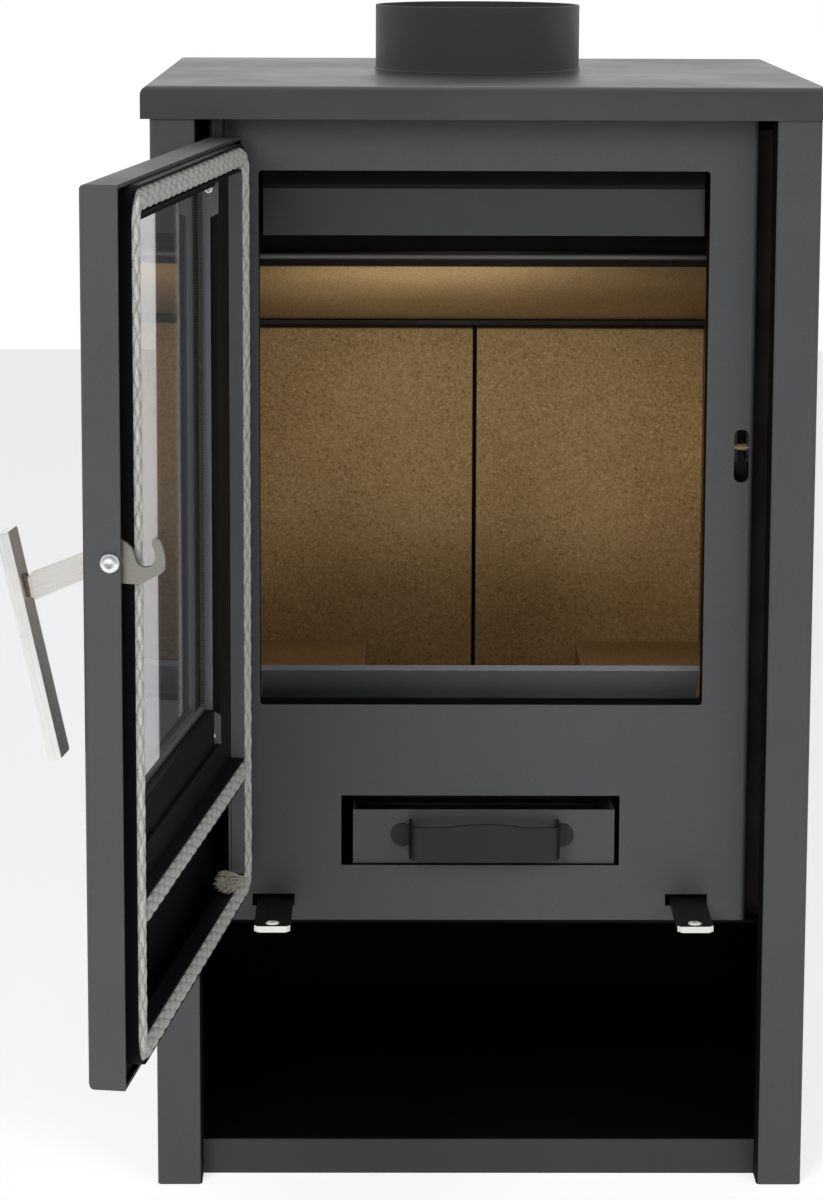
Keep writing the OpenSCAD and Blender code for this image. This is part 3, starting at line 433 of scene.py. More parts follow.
# Painted light: a pale copy of the liner paint for walls that face the light
LIT_LINER_PAINT = stove_paint("painted_lit_liner", 0.16, 0.5, 0.5, sheen=0.4)
# Painted light: the panel paint made paler on the log retainer, for the light that reaches it from
# below
RETAINER_PAINTED_LIGHT = stove_paint("retainer_painted_light", 0.17, 0.4, 0.4)
# Painted shadow: the softer lower band of the shadow on the deflector
SHADOW_BAND_PAINT = stove_paint("painted_shadow_band", 0.005, 0.6, 0.2, sheen=0.2)
SOOT_AND_SHADE = sooty_steel()
GRIP_STEEL = brushed_steel("brushed_grip", GRIP_AXIS, (0.93, 0.92, 0.89, 1), 0.3)
ARM_STEEL = brushed_steel("brushed_arm", ARM_AXIS, (0.84, 0.82, 0.77, 1), 0.34)
# Painted shade: a darker copy of the arm's steel for the lever's part inside the door
SHADED_HOOK_STEEL = brushed_steel("painted_shade_hook", ARM_AXIS, (0.36, 0.355, 0.315, 1), 0.36)
PLATE_STEEL = brushed_steel("rolled_steel", ACROSS, (0.2, 0.195, 0.18, 1), 0.5, 700.0)
BURNT_STEEL = brushed_steel("burnt_weld", UP, (0.2, 0.16, 0.1, 1), 0.38, 900.0)
TAN_STEEL = brushed_steel("tan_pin_steel", ACROSS, (0.3, 0.24, 0.14, 1), 0.4, 700.0)
NICKEL = brushed_steel("bare_ends", BACKWARD, (0.82, 0.81, 0.77, 1), 0.16)
ZINC = zinc_plate()
BRICK = pressed_mineral("fire_brick", (0.37, 0.245, 0.11, 1), (0.3, 0.19, 0.08, 1), 1.0)
BOARD = pressed_mineral("baffle_board", (0.4, 0.265, 0.12, 1), (0.33, 0.21, 0.09, 1), 1.25)
IRON = cast_iron()
ROPE = glass_yarn("braided_rope", (0.86, 0.86, 0.82, 1), (0.58, 0.58, 0.53, 1), 40.0, 10.0, 0.5)
TAIL = glass_yarn("loose_yarn", (0.95, 0.92, 0.82, 1), (0.62, 0.57, 0.42, 1), 8.0, 3.0, 0.2)
TAPE = woven_tape()
GLASS = ceramic_glass()

FINISHES = (
    (PAINT, "left_side_panel right_side_panel back_panel front_plate ash_drawer door_shell"),
    (LID_PAINT, "top_plate"),
    (COLLAR_PAINT, "flue_collar plinth deflector"),
    # Painted shade keeps the log store black inside
    (SHADE_BLACK_PAINT, "log_floor log_back log_ceiling"),
    (SOOT_AND_SHADE, "firebox_front firebox_left firebox_right firebox_back firebox_top firebox_floor"),
    # The latch keeper's near-black finish is painted shade in its slot
    (SOOT_AND_SHADE, "ash_floor baffle_ledge baffle_pegs air_guide_left air_guide_right latch_keeper"),
    (RETAINER_PAINTED_LIGHT, "log_retainer"),
    (IRON, "grate"),
    (PLATE_STEEL, "baffle_bar"),
    (TAN_STEEL, "latch_pin"),
    (DARK_PAINT, "hinge_bracket_upper hinge_bracket_lower hinge_pin_upper hinge_pin_lower"),
    (DARK_PAINT, "drawer_handle primary_air_lever secondary_air_lever"),
    (LINER_BLACK_AND_SHADE, "door_liner glass_retainer_left glass_retainer_right"),
    (LINER_BLACK_AND_SHADE, "glass_retainer_top glass_retainer_bottom"),
    (GLASS, "door_glass"),
    (TAPE, "glass_gasket"),
    (ARM_STEEL, "handle_lever"),
    (GRIP_STEEL, "handle_grip"),
    (ZINC, "pivot_washer pivot_nut panel_screws retainer_screws pivot_screw"),
    (BRICK, "back_brick_left back_brick_right side_brick_left side_brick_right"),
    (BRICK, "floor_brick_left floor_brick_right"),
    (BOARD, "baffle"),
    (ROPE, "door_rope door_mid_rope"),
    (TAIL, "rope_tail"),
)
NODE_FINISH = {node: finish for finish, names in FINISHES for node in names.split()}

# Each node's material slots take its finish
for node_name, obj in nodes.items():
    for index in range(len(obj.data.materials)):
        obj.data.materials[index] = NODE_FINISH[node_name]


# ---- Shaping helpers ----

def take(obj):
    """Only this object is selected and active."""
    bpy.ops.object.select_all(action="DESELECT")
    obj.select_set(True)
    bpy.context.view_layer.objects.active = obj


def edit(piece):
    take(piece)
    bpy.ops.object.mode_set(mode="EDIT")
    bpy.ops.mesh.select_all(action="SELECT")


def done():
    bpy.ops.object.mode_set(mode="OBJECT")


def placed(name, data):
    """New object of this data in the scene."""
    made = bpy.data.objects.new(name, data)
    scene.collection.objects.link(made)
    return made


def placed_mesh(name, mesh):
    """New object made from a bmesh, its faces turned outward."""
    bmesh.ops.recalc_face_normals(mesh, faces=mesh.faces)
    data = bpy.data.meshes.new(name)
    mesh.to_mesh(data)
    mesh.free()
    return placed(name, data)


def apply(obj, kind, **settings):
    """Adds a modifier with these settings and applies it."""
    take(obj)
    made = obj.modifiers.new(kind.lower(), kind)
    for name, value in settings.items():
        setattr(made, name, value)
    bpy.ops.object.modifier_apply(modifier=made.name)


def joined(pieces):
    """The pieces made into one, which keeps the first one's name."""
    bpy.ops.object.select_all(action="DESELECT")
    for piece in pieces:
        piece.select_set(True)
    bpy.context.view_layer.objects.active = pieces[0]
    if len(pieces) > 1:
        bpy.ops.object.join()
    return pieces[0]


def painted(piece, finish):
    """Gives the whole piece this finish."""
    piece.data.materials.clear()
    piece.data.materials.append(finish)


def repainted(piece, finish, chosen):
    """Gives the faces that chosen(face) picks a finish of their own."""
    piece.data.materials.append(finish)
    index = len(piece.data.materials) - 1
    for face in piece.data.polygons:
        if chosen(face):
            face.material_index = index


def stands_for(obj, *names, finish=None):
    """The piece replaces these nodes, which are hidden; it rides the first one's body and takes
    the finish if one is given.
    """
    if finish:
        painted(obj, finish)
    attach(obj, nodes[names[0]]["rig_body"])
    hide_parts(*names)
    return obj


def own_copy(node):
    """Copy of a CAD node's mesh, its loose triangles joined into one skin."""
    piece = placed(node + "_finished", nodes[node].data.copy())
    edit(piece)
    bpy.ops.mesh.remove_doubles(threshold=0.002 * MM)
    done()
    return piece


def soften(piece, width, segments=2):
    """Small round on every sharp edge, with flat faces kept flat in the shading."""
    apply(piece, "BEVEL", width=width * MM, segments=segments, limit_method="ANGLE",
          angle_limit=math.radians(30), use_clamp_overlap=True, miter_outer="MITER_ARC")
    take(piece)
    bpy.ops.object.shade_smooth_by_angle(angle=math.radians(38))
    apply(piece, "WEIGHTED_NORMAL", weight=80, keep_sharp=True)


def softened(node, width=0.3, segments=2):
    piece = own_copy(node)
    soften(piece, width, segments)
    return stands_for(piece, node)


def sliced(piece, planes):
    """Cuts the piece's faces along planes, each a point and a normal."""
    edit(piece)
    for point, normal in planes:
        bpy.ops.mesh.select_all(action="SELECT")
        bpy.ops.mesh.bisect(plane_co=point, plane_no=normal)
    done()


def block(name, low, high):
    """Box between two corners, its place in its mesh."""
    bpy.ops.object.select_all(action="DESELECT")
    bpy.ops.mesh.primitive_cube_add(size=1)
    piece = bpy.context.object
    piece.name = name
    size = Matrix.Diagonal((*(high - low), 1))
    piece.data.transform(Matrix.Translation((low + high) / 2) @ size)
    return piece


# ---- Bricks and baffle ----

BRICK_ROUND = 1.3
BRICK_ROUGH = 0.9
CRUMBLE_REACH = 7
WAVES, CHIPS = 45, 140
# The upright joint of the back bricks lies further right than in the solids
JOINT_SHIFT = 8 * MM
BRICK_CELLS = {"back_brick_left": 4.5, "back_brick_right": 4.5, "side_brick_left": 6,
               "side_brick_right": 6, "floor_brick_left": 4, "floor_brick_right": 4}


def chipped(piece, cell, seed):
    """Pressed-brick surface: rounded crumbly edges and uneven faces, all within the block."""
    low, high = Vector(piece.bound_box[0]), Vector(piece.bound_box[6])
    size = high - low
    edit(piece)
    bpy.ops.mesh.bevel(offset=BRICK_ROUND * MM, segments=3, profile=0.5, affect="EDGES")
    done()
    planes = []
    for axis, normal in enumerate((ACROSS, BACKWARD, UP)):
        cuts = max(2, round(size[axis] / (cell * MM)))
        for step in range(1, cuts):
            place = Vector(low)
            place[axis] += size[axis] * step / cuts
            planes.append((place, normal))
    sliced(piece, planes)
    offset = Vector((seed * 3.1, seed * 1.7, seed * 0.9))
    for vert in piece.data.vertices:
        inward = [min(vert.co[a] - low[a], high[a] - vert.co[a]) for a in range(3)]
        crumble = max(0.0, 1 - sorted(inward)[1] / (CRUMBLE_REACH * MM)) ** 2
        wave = noise.noise(vert.co * WAVES + offset) * 0.5 + 0.5
        chip = max(0.0, noise.noise(vert.co * CHIPS + offset) - 0.05)
        push = BRICK_ROUGH * MM * (0.25 * wave + crumble * (0.5 * wave + 2.2 * chip))
        moved = Vector(vert.co)
        for a in range(3):
            if inward[a] < (BRICK_ROUND + 0.5) * MM:
                moved[a] -= math.copysign(push, vert.co[a] - (low[a] + high[a]) / 2)
        vert.co = moved
    take(piece)
    bpy.ops.object.shade_smooth_by_angle(angle=math.radians(40))


def lay_bricks():
    """Back, side and floor bricks, and the baffle slab with its front face darkened."""
    for seed, (node, cell) in enumerate(BRICK_CELLS.items(), 1):
        low, high = (Vector(corner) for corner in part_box(node))
        low.x += JOINT_SHIFT if node == "back_brick_right" else 0
        high.x += JOINT_SHIFT if node == "back_brick_left" else 0
        piece = block(node + "_cast", low, high)
        chipped(piece, cell, seed)
        stands_for(piece, node, finish=BRICK)
    slab = own_copy("baffle")
    soften(slab, 1.2, 3)
    painted(slab, BOARD)
    repainted(slab, SOOT_AND_SHADE, lambda face: face.normal.y < -0.8)
    stands_for(slab, "baffle")


# ---- Ropes ----

# Seal round the door, millimetres: radius over the yarns, depth of a groove, rise of a yarn,
# place into the door, spans of its centre line, corner
ROPE_R, GROOVE_DEEP, YARN_RISE = 6.8, 1.75, 1.7
ROPE_N = 25.8
ROPE_U = (20.0, 358.0)
ROPE_Z = (219.0, 720.5)
ROPE_CORNER = 12.0
MID_ROPE_U = (29.2, 348.8)
MID_ROPE_Z = 301.5
ROPE_STEP = 1.0
ROPE_SIDES = 40
PLAITS, PLAIT_PITCH = 5, 16.5
# Share of its radius that the rope keeps on the side that the front plate presses
PRESSED = 0.85

# Frayed end of the rope, millimetres on the door
KNOT = Vector((46.0, 30.2, 230.0))
TAIL_WAY = Vector((0.955, -0.212, 0.208))
TAIL_LENGTH, TAIL_SPREAD = 43, 8.2
YARNS, YARN_POINTS, YARN_SIDES = 230, 9, 5
YARN_TIP = 0.5


def braid_height(along, around, pitch):
    """A plaited rope's surface, from 0 in a groove to 1 on a yarn, over two and under two."""
    turns = around / (2 * math.pi) * PLAITS
    climb = along / pitch
    first, second = turns + climb, turns - climb
    across = (first % 1) - 0.5, (second % 1) - 0.5
    over = (math.floor(first) + math.floor(second)) % 2 == 0
    lead, under = across if over else across[::-1]
    crown = math.cos(math.pi * lead) ** 0.55
    return crown * (0.72 + 0.28 * math.cos(math.pi * under))


def tube_skin(start, sides, marks, end=None):
    """Faces and UV corners of a tube whose vertices begin at start, ring by ring.

    marks has each ring's distance; end is the distance back at the first ring, if it closes."""
    faces, uvs = [], []
    last = len(marks) - 1
    for i in range(last if end is None else last + 1):
        j = i + 1 if i < last else 0
        here, there = marks[i], marks[j] if j else end
        for k in range(sides):
            m = (k + 1) % sides
            faces.append(tuple(start + at for at in (i * sides + k, i * sides + m,
                                                     j * sides + m, j * sides + k)))
            low, high = k / sides, (k + 1) / sides
            uvs += [(here, low), (here, high), (there, high), (there, low)]
    if end is None:
        for i, order in ((0, -1), (last, 1)):
            faces.append(tuple(range(start + i * sides, start + i * sides + sides))[::order])
            uvs += [(marks[i], k / sides) for k in range(sides)]
    return faces, uvs


def yarn_piece(name, verts, faces, uvs, groove_shades):
    """Smooth piece with the UV and the painted groove shade that the yarn materials read."""
    mesh = bpy.data.meshes.new(name)
    mesh.from_pydata(verts, [], faces)
    mesh.uv_layers.new(name="yarn").data.foreach_set("uv", [c for uv in uvs for c in uv])
    mesh.attributes.new("groove", "FLOAT", "POINT").data.foreach_set("value", groove_shades)
    piece = placed(name, mesh)
    edit(piece)
    bpy.ops.mesh.normals_make_consistent(inside=False)
    done()
    bpy.ops.object.shade_smooth()
    return piece


def rope_along(name, path, pitch, closed):
    """Braided rope along a path of (point, tangent, distance), flatter where it is pressed."""
    verts, groove_shades = [], []
    for point, tangent, distance in path:
        side = tangent.cross(INTO_DOOR).normalized()
        for k in range(ROPE_SIDES):
            angle = 2 * math.pi * k / ROPE_SIDES
            across, beside = math.cos(angle), math.sin(angle)
            loose = noise.noise(Vector((distance * 90, across * 1.3, beside * 1.3))) * 0.12
            lift = max(0.0, min(1.0, braid_height(distance, angle, pitch) * 0.94 + loose))
            outward = INTO_DOOR * across * (PRESSED if across > 0 else 1)
            radius = (ROPE_R - GROOVE_DEEP + YARN_RISE * lift) * MM
            verts.append(point + (outward + side * beside) * radius)
            # Painted shade, deepest in the hollows between the plaits
            groove_shades.append(min(1.0, max(0.0, (1 - lift - 0.35) * 1.3)))
    marks = [distance for _, _, distance in path]
    end = marks[-1] + (path[-1][0] - path[0][0]).length if closed else None
    return yarn_piece(name, verts, *tube_skin(0, ROPE_SIDES, marks, end), groove_shades)


def loop_path():
    """The rope's centre line round the door, (point, tangent, distance) each step, and length."""
    (u0, u1), (z0, z1), c = ROPE_U, ROPE_Z, ROPE_CORNER
    runs = [((u0 + c, z0), (u1 - c, z0)), ((u1, z0 + c), (u1, z1 - c)),
            ((u1 - c, z1), (u0 + c, z1)), ((u0, z1 - c), (u0, z0 + c))]
    corners = [(u1 - c, z0 + c, -90), (u1 - c, z1 - c, 0),
               (u0 + c, z1 - c, 90), (u0 + c, z0 + c, 180)]
    flat = []
    for (a, b), (cu, cz, start) in zip(runs, corners):
        a, b = Vector(a), Vector(b)
        count = max(2, round((b - a).length / ROPE_STEP))
        flat += [a.lerp(b, i / count) for i in range(count)]
        count = max(4, round(c * math.pi / 2 / ROPE_STEP))
        for i in range(count):
            turn = math.radians(start + 90 * i / count)
            flat.append(Vector((cu + c * math.cos(turn), cz + c * math.sin(turn))))
    path, distance = [], 0.0
    for i, here in enumerate(flat):
        after, before = flat[(i + 1) % len(flat)], flat[i - 1]
        way = (after - before).normalized()
        tangent = ALONG_DOOR * way.x + UP * way.y
        path.append((door_point(here.x, ROPE_N, here.y), tangent, distance))
        distance += (after - here).length * MM
    return path, distance


def braided_ropes():
    """The seal round the door and the level rope under the window."""
    path, length = loop_path()
    pitch = length / round(length / (PLAIT_PITCH * MM))
    loop = rope_along("door_rope_braid", path, pitch, True)
    stands_for(loop, "door_rope", finish=ROPE)
    low, high = MID_ROPE_U
    count = round((high - low) / ROPE_STEP)
    line = [(door_point(low + (high - low) * i / count, ROPE_N, MID_ROPE_Z), ALONG_DOOR,
             (high - low) * MM * i / count) for i in range(count + 1)]
    middle = rope_along("middle_rope_braid", line, pitch, False)
    stands_for(middle, "door_mid_rope", finish=ROPE)


def frayed_tail():
    """Brush of loose yarns that opens from beside the rope towards the door's free edge."""
    random.seed(11)
    heading = TAIL_WAY.normalized()
    side = heading.cross(Vector((0, 1, 0))).normalized()
    lift = side.cross(heading).normalized()
    verts, faces, uvs, groove_shades = [], [], [], []
    last = YARN_POINTS - 1
    for _ in range(YARNS):
        spin = random.uniform(0, 2 * math.pi)
        wide = math.sqrt(random.uniform(0, 1))
        reach = random.uniform(0.7, 1.0) * (1 - 0.18 * wide)
        curl = random.uniform(-0.16, 0.16)
        points = []
        for i in range(YARN_POINTS):
            s = i / last
            spread = (0.2 + 0.8 * s ** 1.3) * wide * TAIL_SPREAD
            turn = spin + curl * s * 2.5
            here = KNOT + heading * TAIL_LENGTH * reach * s
            here += (side * math.cos(turn) + lift * math.sin(turn)) * spread
            here += UP * random.uniform(-0.2, 0.2)
            points.append(here)
        thick = random.uniform(0.3, 0.55)
        skin, corners = tube_skin(len(verts), YARN_SIDES,
                                  [i / YARN_POINTS for i in range(YARN_POINTS)])
        faces += skin
        uvs += corners
        for i, here in enumerate(points):
            way = (points[min(i + 1, last)] - points[max(i - 1, 0)]).normalized()
            radius = thick * (1 - i / last * (1 - YARN_TIP))
            a = way.cross(Vector((0.31, 0.9, 0.3))).normalized()
            b = way.cross(a).normalized()
            for k in range(YARN_SIDES):
                angle = 2 * math.pi * k / YARN_SIDES
                place = here + (a * math.cos(angle) + b * math.sin(angle)) * radius
                verts.append(door_point(*place))
                # Painted shade, deepest at the knot where the yarns crowd
                groove_shades.append(0.35 * (1 - i / last))
    tail = yarn_piece("rope_tail_yarns", verts, faces, uvs, groove_shades)
    stands_for(tail, "rope_tail", finish=TAIL)


# ---- Painted sheets ----

# A face of the door's pan that looks towards the door's middle gets painted shade
DOOR_HEART = door_point(189, 12, 475)
# The liner's wall at the free edge, in painted shade, begins at the first u; its walls at the
# hinge end, with painted light, at the second
FREE_WALL_U, HINGE_WALL_U = 345, 60
# Upright retainers: a standing leg is what lies over LEG_FOOT; it comes down to LOW_LEG between
# the first two and the last two of these heights
LEG_CUTS = (350, 353, 684, 687)
LEG_FOOT, LOW_LEG = 15, 14.5
# Level edges of the front plate get painted shade from this depth on
SHADE_DEPTH = 38
# The deflector's two bands of painted shadow, a black one at the top and a dark one under it, end
# this far below its upper edge
DEFLECTOR_SHADOW_BANDS = (10, 13)
# Air levers: bright front end, and the hole's place behind the front and its bright rim
BRIGHT_END, HOLE_BEHIND, HOLE_RIM = 3.4, 7.8, 5.2


def low_legged(node):
    """Upright retainer whose standing leg is cut lower between its two screw tabs."""
    strip = own_copy(node)
    sliced(strip, [((0, 0, z * MM), UP) for z in LEG_CUTS])
    for vert in strip.data.vertices:
        _, n, z = door_place(vert.co)
        if LEG_CUTS[1] - 1 < z < LEG_CUTS[2] + 1 and n > LEG_FOOT:
            vert.co -= INTO_DOOR * (n - LOW_LEG) * MM
    soften(strip, 0.3)
    stands_for(strip, node)
    # Painted light on the leg's faces that look along the door
    repainted(strip, LIT_LINER_PAINT, lambda face: face.normal.dot(ALONG_DOOR) > 0.7)


def dress_door():
    """Painted shade inside the pan and on the liner's free end, and painted light on the liner's
    hinge-end walls that face along the door.
    """
    shell = softened("door_shell")
    # Painted shade on the pan's faces that look inward
    repainted(shell, SHADE_BLACK_PAINT, lambda face: (face.center - DOOR_HEART).dot(face.normal) < 0)
    liner = softened("door_liner")
    # Painted shade on the liner's free end
    repainted(liner, SHADE_BLACK_PAINT, lambda face: door_place(face.center)[0] > FREE_WALL_U)
    # Painted light on the hinge-end walls that face along the door
    repainted(liner, LIT_LINER_PAINT, lambda face: face.normal.dot(ALONG_DOOR) > 0.5
              and door_place(face.center)[0] < HINGE_WALL_U)
    for node in ("glass_retainer_left", "glass_retainer_right"):
        low_legged(node)


def dress_deflector():
    """Painted shadow along its upper edge, which lies under the front plate."""
    deflector = softened("deflector")
    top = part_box("deflector")[1].z
    sliced(deflector, [((0, 0, top - down * MM), UP) for down in DEFLECTOR_SHADOW_BANDS])
    for finish, down in ((SHADOW_BAND_PAINT, DEFLECTOR_SHADOW_BANDS[1]), (SHADE_BLACK_PAINT, DEFLECTOR_SHADOW_BANDS[0])):
        repainted(deflector, finish, lambda face: face.center.z > top - down * MM)


def dress_sheets():
    """Bent and cut sheets get small rounds, and faces in recesses get painted shade."""
    for node in ("top_plate", "plinth", "log_retainer", "ash_drawer", "glass_retainer_top",
                 "glass_retainer_bottom", "back_panel", "latch_keeper"):
        softened(node)
    dress_door()
    for node, side in (("left_side_panel", 1), ("right_side_panel", -1)):
        panel = softened(node)
        # Painted shade on the panel's faces that look inward
        repainted(panel, SHADE_BLACK_PAINT, lambda face: face.normal.x * side > 0.7)
    plate = softened("front_plate")
    # Painted shade on the plate's level edges deep in the recess
    repainted(plate, SHADE_BLACK_PAINT, lambda face: abs(face.normal.y) < 0.5
              and face.center.y > FRONT_Y + SHADE_DEPTH * MM)
    dress_deflector()
    softened("flue_collar", 0.5, 3)
    softened("drawer_handle")
    softened("handle_grip", 0.9, 3)
    hooked_lever()
    softened("glass_gasket", 0.5)
    softened("grate", 0.6)
    softened("pivot_nut")


# ---- Lever, screws and weld ----

# Hooked lever round its pivot at (0, 0), millimetres and degrees: radii of the eye, of the
# notch's outer side, of the finger's back and of its tip; angles of the notch's seat, of the
# fingertip, of the eye's upper end at the arm and of its lower span
EYE_R, NOTCH_R, BACK_R, TIP_R = 13.7, 25.4, 30.8, 2.3
SEAT_ANGLE, FINGER_ANGLE = 8.5, 24.5
EYE_ABOVE, EYE_BELOW = 149.9, (235.6, 292.1)
ARM_OUTLINE = [(-16.4, 4.8), (-46.4, -7.6), (-48.6, -10.4), (-51.4, -10.6), (-49, -21),
               (-45, -23.8), (-16.4, -11.2)]
HOOK_OUTLINE = [(16, -13.1), (28.1, -6.7)]
# A point of the cut across the lever, on the door: bright before it, and darker behind it as
# painted shade inside the door
SHADE_CUT_FROM = (371, 3, 517)

# Weld bead along the arm's end, millimetres on the door: first lump and way to the last
BEAD_START, BEAD_RUN = (-34.6, 507.2), (2.2, -11.2)
BEAD_LUMPS = 9

# Screws: radius and height of the head, radius and length of the shank, recess
PIVOT_SCREW = dict(head_r=5.9, head_h=3.3, shank_r=3.0, shank_l=11.0,
                   shape="hex", recess_r=2.5, recess_deep=2.4)
PANEL_SCREW = dict(head_r=4.0, head_h=1.8, shank_r=1.9, shank_l=8.0,
                   shape="star", recess_r=2.1, recess_deep=1.1)
RETAINER_SCREW = dict(head_r=3.0, head_h=1.8, shank_r=1.2, shank_l=1.6,
                      shape="star", recess_r=1.7, recess_deep=1.0)
# Their seats: on the door's free edge, on the back, and on the retainers (u and way, n, heights)
PIVOT_HEAD_U = 378.0
PANEL_SCREW_X, PANEL_SCREW_Z = (-0.216, 0.216), (0.1, 0.3835, 0.707)
RETAINER_SCREW_U = ((69.8, ALONG_DOOR), (308.2, -ALONG_DOOR))
RETAINER_SCREW_N, RETAINER_SCREW_Z = 13.5, (336.0, 702.8)


def polar(radius, angle):
    turn = math.radians(angle)
    return radius * math.cos(turn), radius * math.sin(turn)


def arc(radius, start, end, steps, centre=(0, 0)):
    """Points along an arc, angles in degrees."""
    spots = [polar(radius, start + (end - start) * i / steps) for i in range(steps + 1)]
    return [(centre[0] + x, centre[1] + y) for x, y in spots]


def hooked_lever():
    """Flat lever: arm, pivot eye and an open hook with an upright finger."""
    middle = (EYE_R + NOTCH_R) / 2
    line = arc(EYE_R, SEAT_ANGLE, EYE_ABOVE, 40) + ARM_OUTLINE
    line += arc(EYE_R, *EYE_BELOW, 14) + HOOK_OUTLINE
    line += arc(BACK_R, -8, FINGER_ANGLE, 14)
    line += arc(TIP_R, FINGER_ANGLE + 10, FINGER_ANGLE + 170, 14,
                polar((NOTCH_R + BACK_R) / 2, FINGER_ANGLE))
    line += arc(NOTCH_R, FINGER_ANGLE, SEAT_ANGLE, 10)
    line += arc(middle - EYE_R - 0.1, SEAT_ANGLE - 5, SEAT_ANGLE - 175, 24,
                polar(middle, SEAT_ANGLE))
    mesh = bmesh.new()
    face = mesh.faces.new([mesh.verts.new(door_point(LEVER_U, PIVOT_N + x, PIVOT_Z + y))
                           for x, y in line])
    made = bmesh.ops.extrude_face_region(mesh, geom=[face])
    far = [v for v in made["geom"] if isinstance(v, bmesh.types.BMVert)]
    bmesh.ops.translate(mesh, verts=far, vec=ALONG_DOOR * LEVER_T * MM)
    lever = placed_mesh("hooked_lever", mesh)
    soften(lever, 0.35, 3)
    sliced(lever, [(door_point(*SHADE_CUT_FROM), INTO_DOOR)])
    stands_for(lever, "handle_lever", finish=ARM_STEEL)
    # Painted shade on the part of the lever behind the cut
    repainted(lever, SHADED_HOOK_STEEL, lambda face: door_place(face.center)[1] > SHADE_CUT_FROM[1])


def recess_reach(shape, angle):
    """Share of its radius that a ring has here: round, hex socket or star for a cross recess."""
    if shape == "hex":
        return math.cos(math.pi / 6) / math.cos((angle % (math.pi / 3)) - math.pi / 6)
    if shape == "star":
        return 0.4 + 0.6 * abs(math.cos(2 * angle)) ** 4
    return 1.0


def turned(name, rings, sides=48):
    """Closed skin through rings of (radius, height, shape)."""
    mesh = bmesh.new()
    loops = []
    for radius, height, shape in rings:
        loops.append([])
        for k in range(sides):
            angle = 2 * math.pi * k / sides
            r = radius * recess_reach(shape, angle) * MM
            spot = (r * math.cos(angle), r * math.sin(angle), height * MM)
            loops[-1].append(mesh.verts.new(spot))
    for lower, upper in zip(loops, loops[1:]):
        for k in range(sides):
            m = (k + 1) % sides
            mesh.faces.new((lower[k], lower[m], upper[m], upper[k]))
    mesh.faces.new(loops[0][::-1])
    mesh.faces.new(loops[-1])
    piece = placed_mesh(name, mesh)
    take(piece)
    bpy.ops.object.shade_smooth_by_angle(angle=math.radians(32))
    return piece


def screw_rings(head_r, head_h, shank_r, shank_l, shape, recess_r, recess_deep):
    """Domed head over z = 0 with its recess, shank below."""
    rings = [(shank_r * 0.8, -shank_l, "round"), (shank_r, -shank_l + 0.3 * shank_r, "round"),
             (shank_r, 0, "round"), (head_r - 0.2, 0, "round"), (head_r, 0.2, "round"),
             (head_r, head_h * 0.3, "round")]
    steps = 6
    for i in range(1, steps):
        t = math.pi / 2 * i / steps
        rings.append((recess_r * 1.25 + (head_r - recess_r * 1.25) * math.cos(t),
                      head_h * (0.3 + 0.7 * math.sin(t)), "round"))
    floor = head_h - recess_deep
    return rings + [(recess_r * 1.22, head_h, "round"), (recess_r, head_h - 0.1, shape),
                    (recess_r * 0.94, floor, shape), (recess_r * 0.4, floor - 0.25, "round")]


def set_screws(node, screw, seats):
    """One modelled screw, copied with its own mesh to each seat (point, way out), joined."""
    first = turned(node + "_turned", screw_rings(**screw))
    copies = []
    for point, way in seats:
        copy = placed(node + "_set", first.data.copy())
        turn = UP.rotation_difference(way).to_matrix().to_4x4()
        copy.data.transform(Matrix.Translation(point) @ turn)
        copies.append(copy)
    bpy.data.objects.remove(first)
    stands_for(joined(copies), node, finish=ZINC)


def fasten():
    """Pivot screw with its hex socket, cross-head screws on the back and on the retainers."""
    pivot = door_point(PIVOT_HEAD_U, PIVOT_N, PIVOT_Z)
    set_screws("pivot_screw", PIVOT_SCREW, [(pivot, ALONG_DOOR)])
    back = [Vector((x, BACK_Y, z)) for x in PANEL_SCREW_X for z in PANEL_SCREW_Z]
    set_screws("panel_screws", PANEL_SCREW, [(point, BACKWARD) for point in back])
    sides = [(door_point(u, RETAINER_SCREW_N, z), way)
             for z in RETAINER_SCREW_Z for u, way in RETAINER_SCREW_U]
    set_screws("retainer_screws", RETAINER_SCREW, sides)


def weld_bead():
    """Lumpy bead along both faces of the arm, where it meets the grip."""
    random.seed(5)
    lumps = []
    for u in (LEVER_U, LEVER_U + LEVER_T):
        for i in range(BEAD_LUMPS):
            n, z = (start + run * i / (BEAD_LUMPS - 1)
                    for start, run in zip(BEAD_START, BEAD_RUN))
            size = random.uniform(1.25, 1.7) * MM
            bpy.ops.mesh.primitive_ico_sphere_add(subdivisions=2, radius=size)
            lump = bpy.context.object
            flatter = Matrix.Diagonal((1, 1, 0.8, 1))
            lump.data.transform(Matrix.Translation(door_point(u, n, z)) @ flatter)
            lumps.append(lump)
    bead = joined(lumps)
    bead.name = "grip_weld"
    apply(bead, "REMESH", mode="VOXEL", voxel_size=0.3 * MM, use_smooth_shade=True)
    apply(bead, "SMOOTH", factor=0.5, iterations=2)
    painted(bead, BURNT_STEEL)
    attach(bead, nodes["handle_lever"]["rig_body"])


def bare_ended_lever(node):
    """Painted strip whose cut front end and hole are left bright."""
    piece = own_copy(node)
    soften(piece, 0.35)
    painted(piece, NODE_FINISH[node])
    low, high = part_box(node)
    hole = Vector(((low.x + high.x) / 2, low.y + HOLE_BEHIND * MM))

    def bright(face):
        front = face.center.y < low.y + BRIGHT_END * MM
        bored = (Vector(face.center[:2]) - hole).length < HOLE_RIM * MM
        return abs(face.normal.z) < 0.7 and (front or bored)

    repainted(piece, NICKEL, bright)
    stands_for(piece, node)


# ---- Camera, light and floor ----

CAMERA_PLACE = (-0.0656, -2.3346, 0.8907)
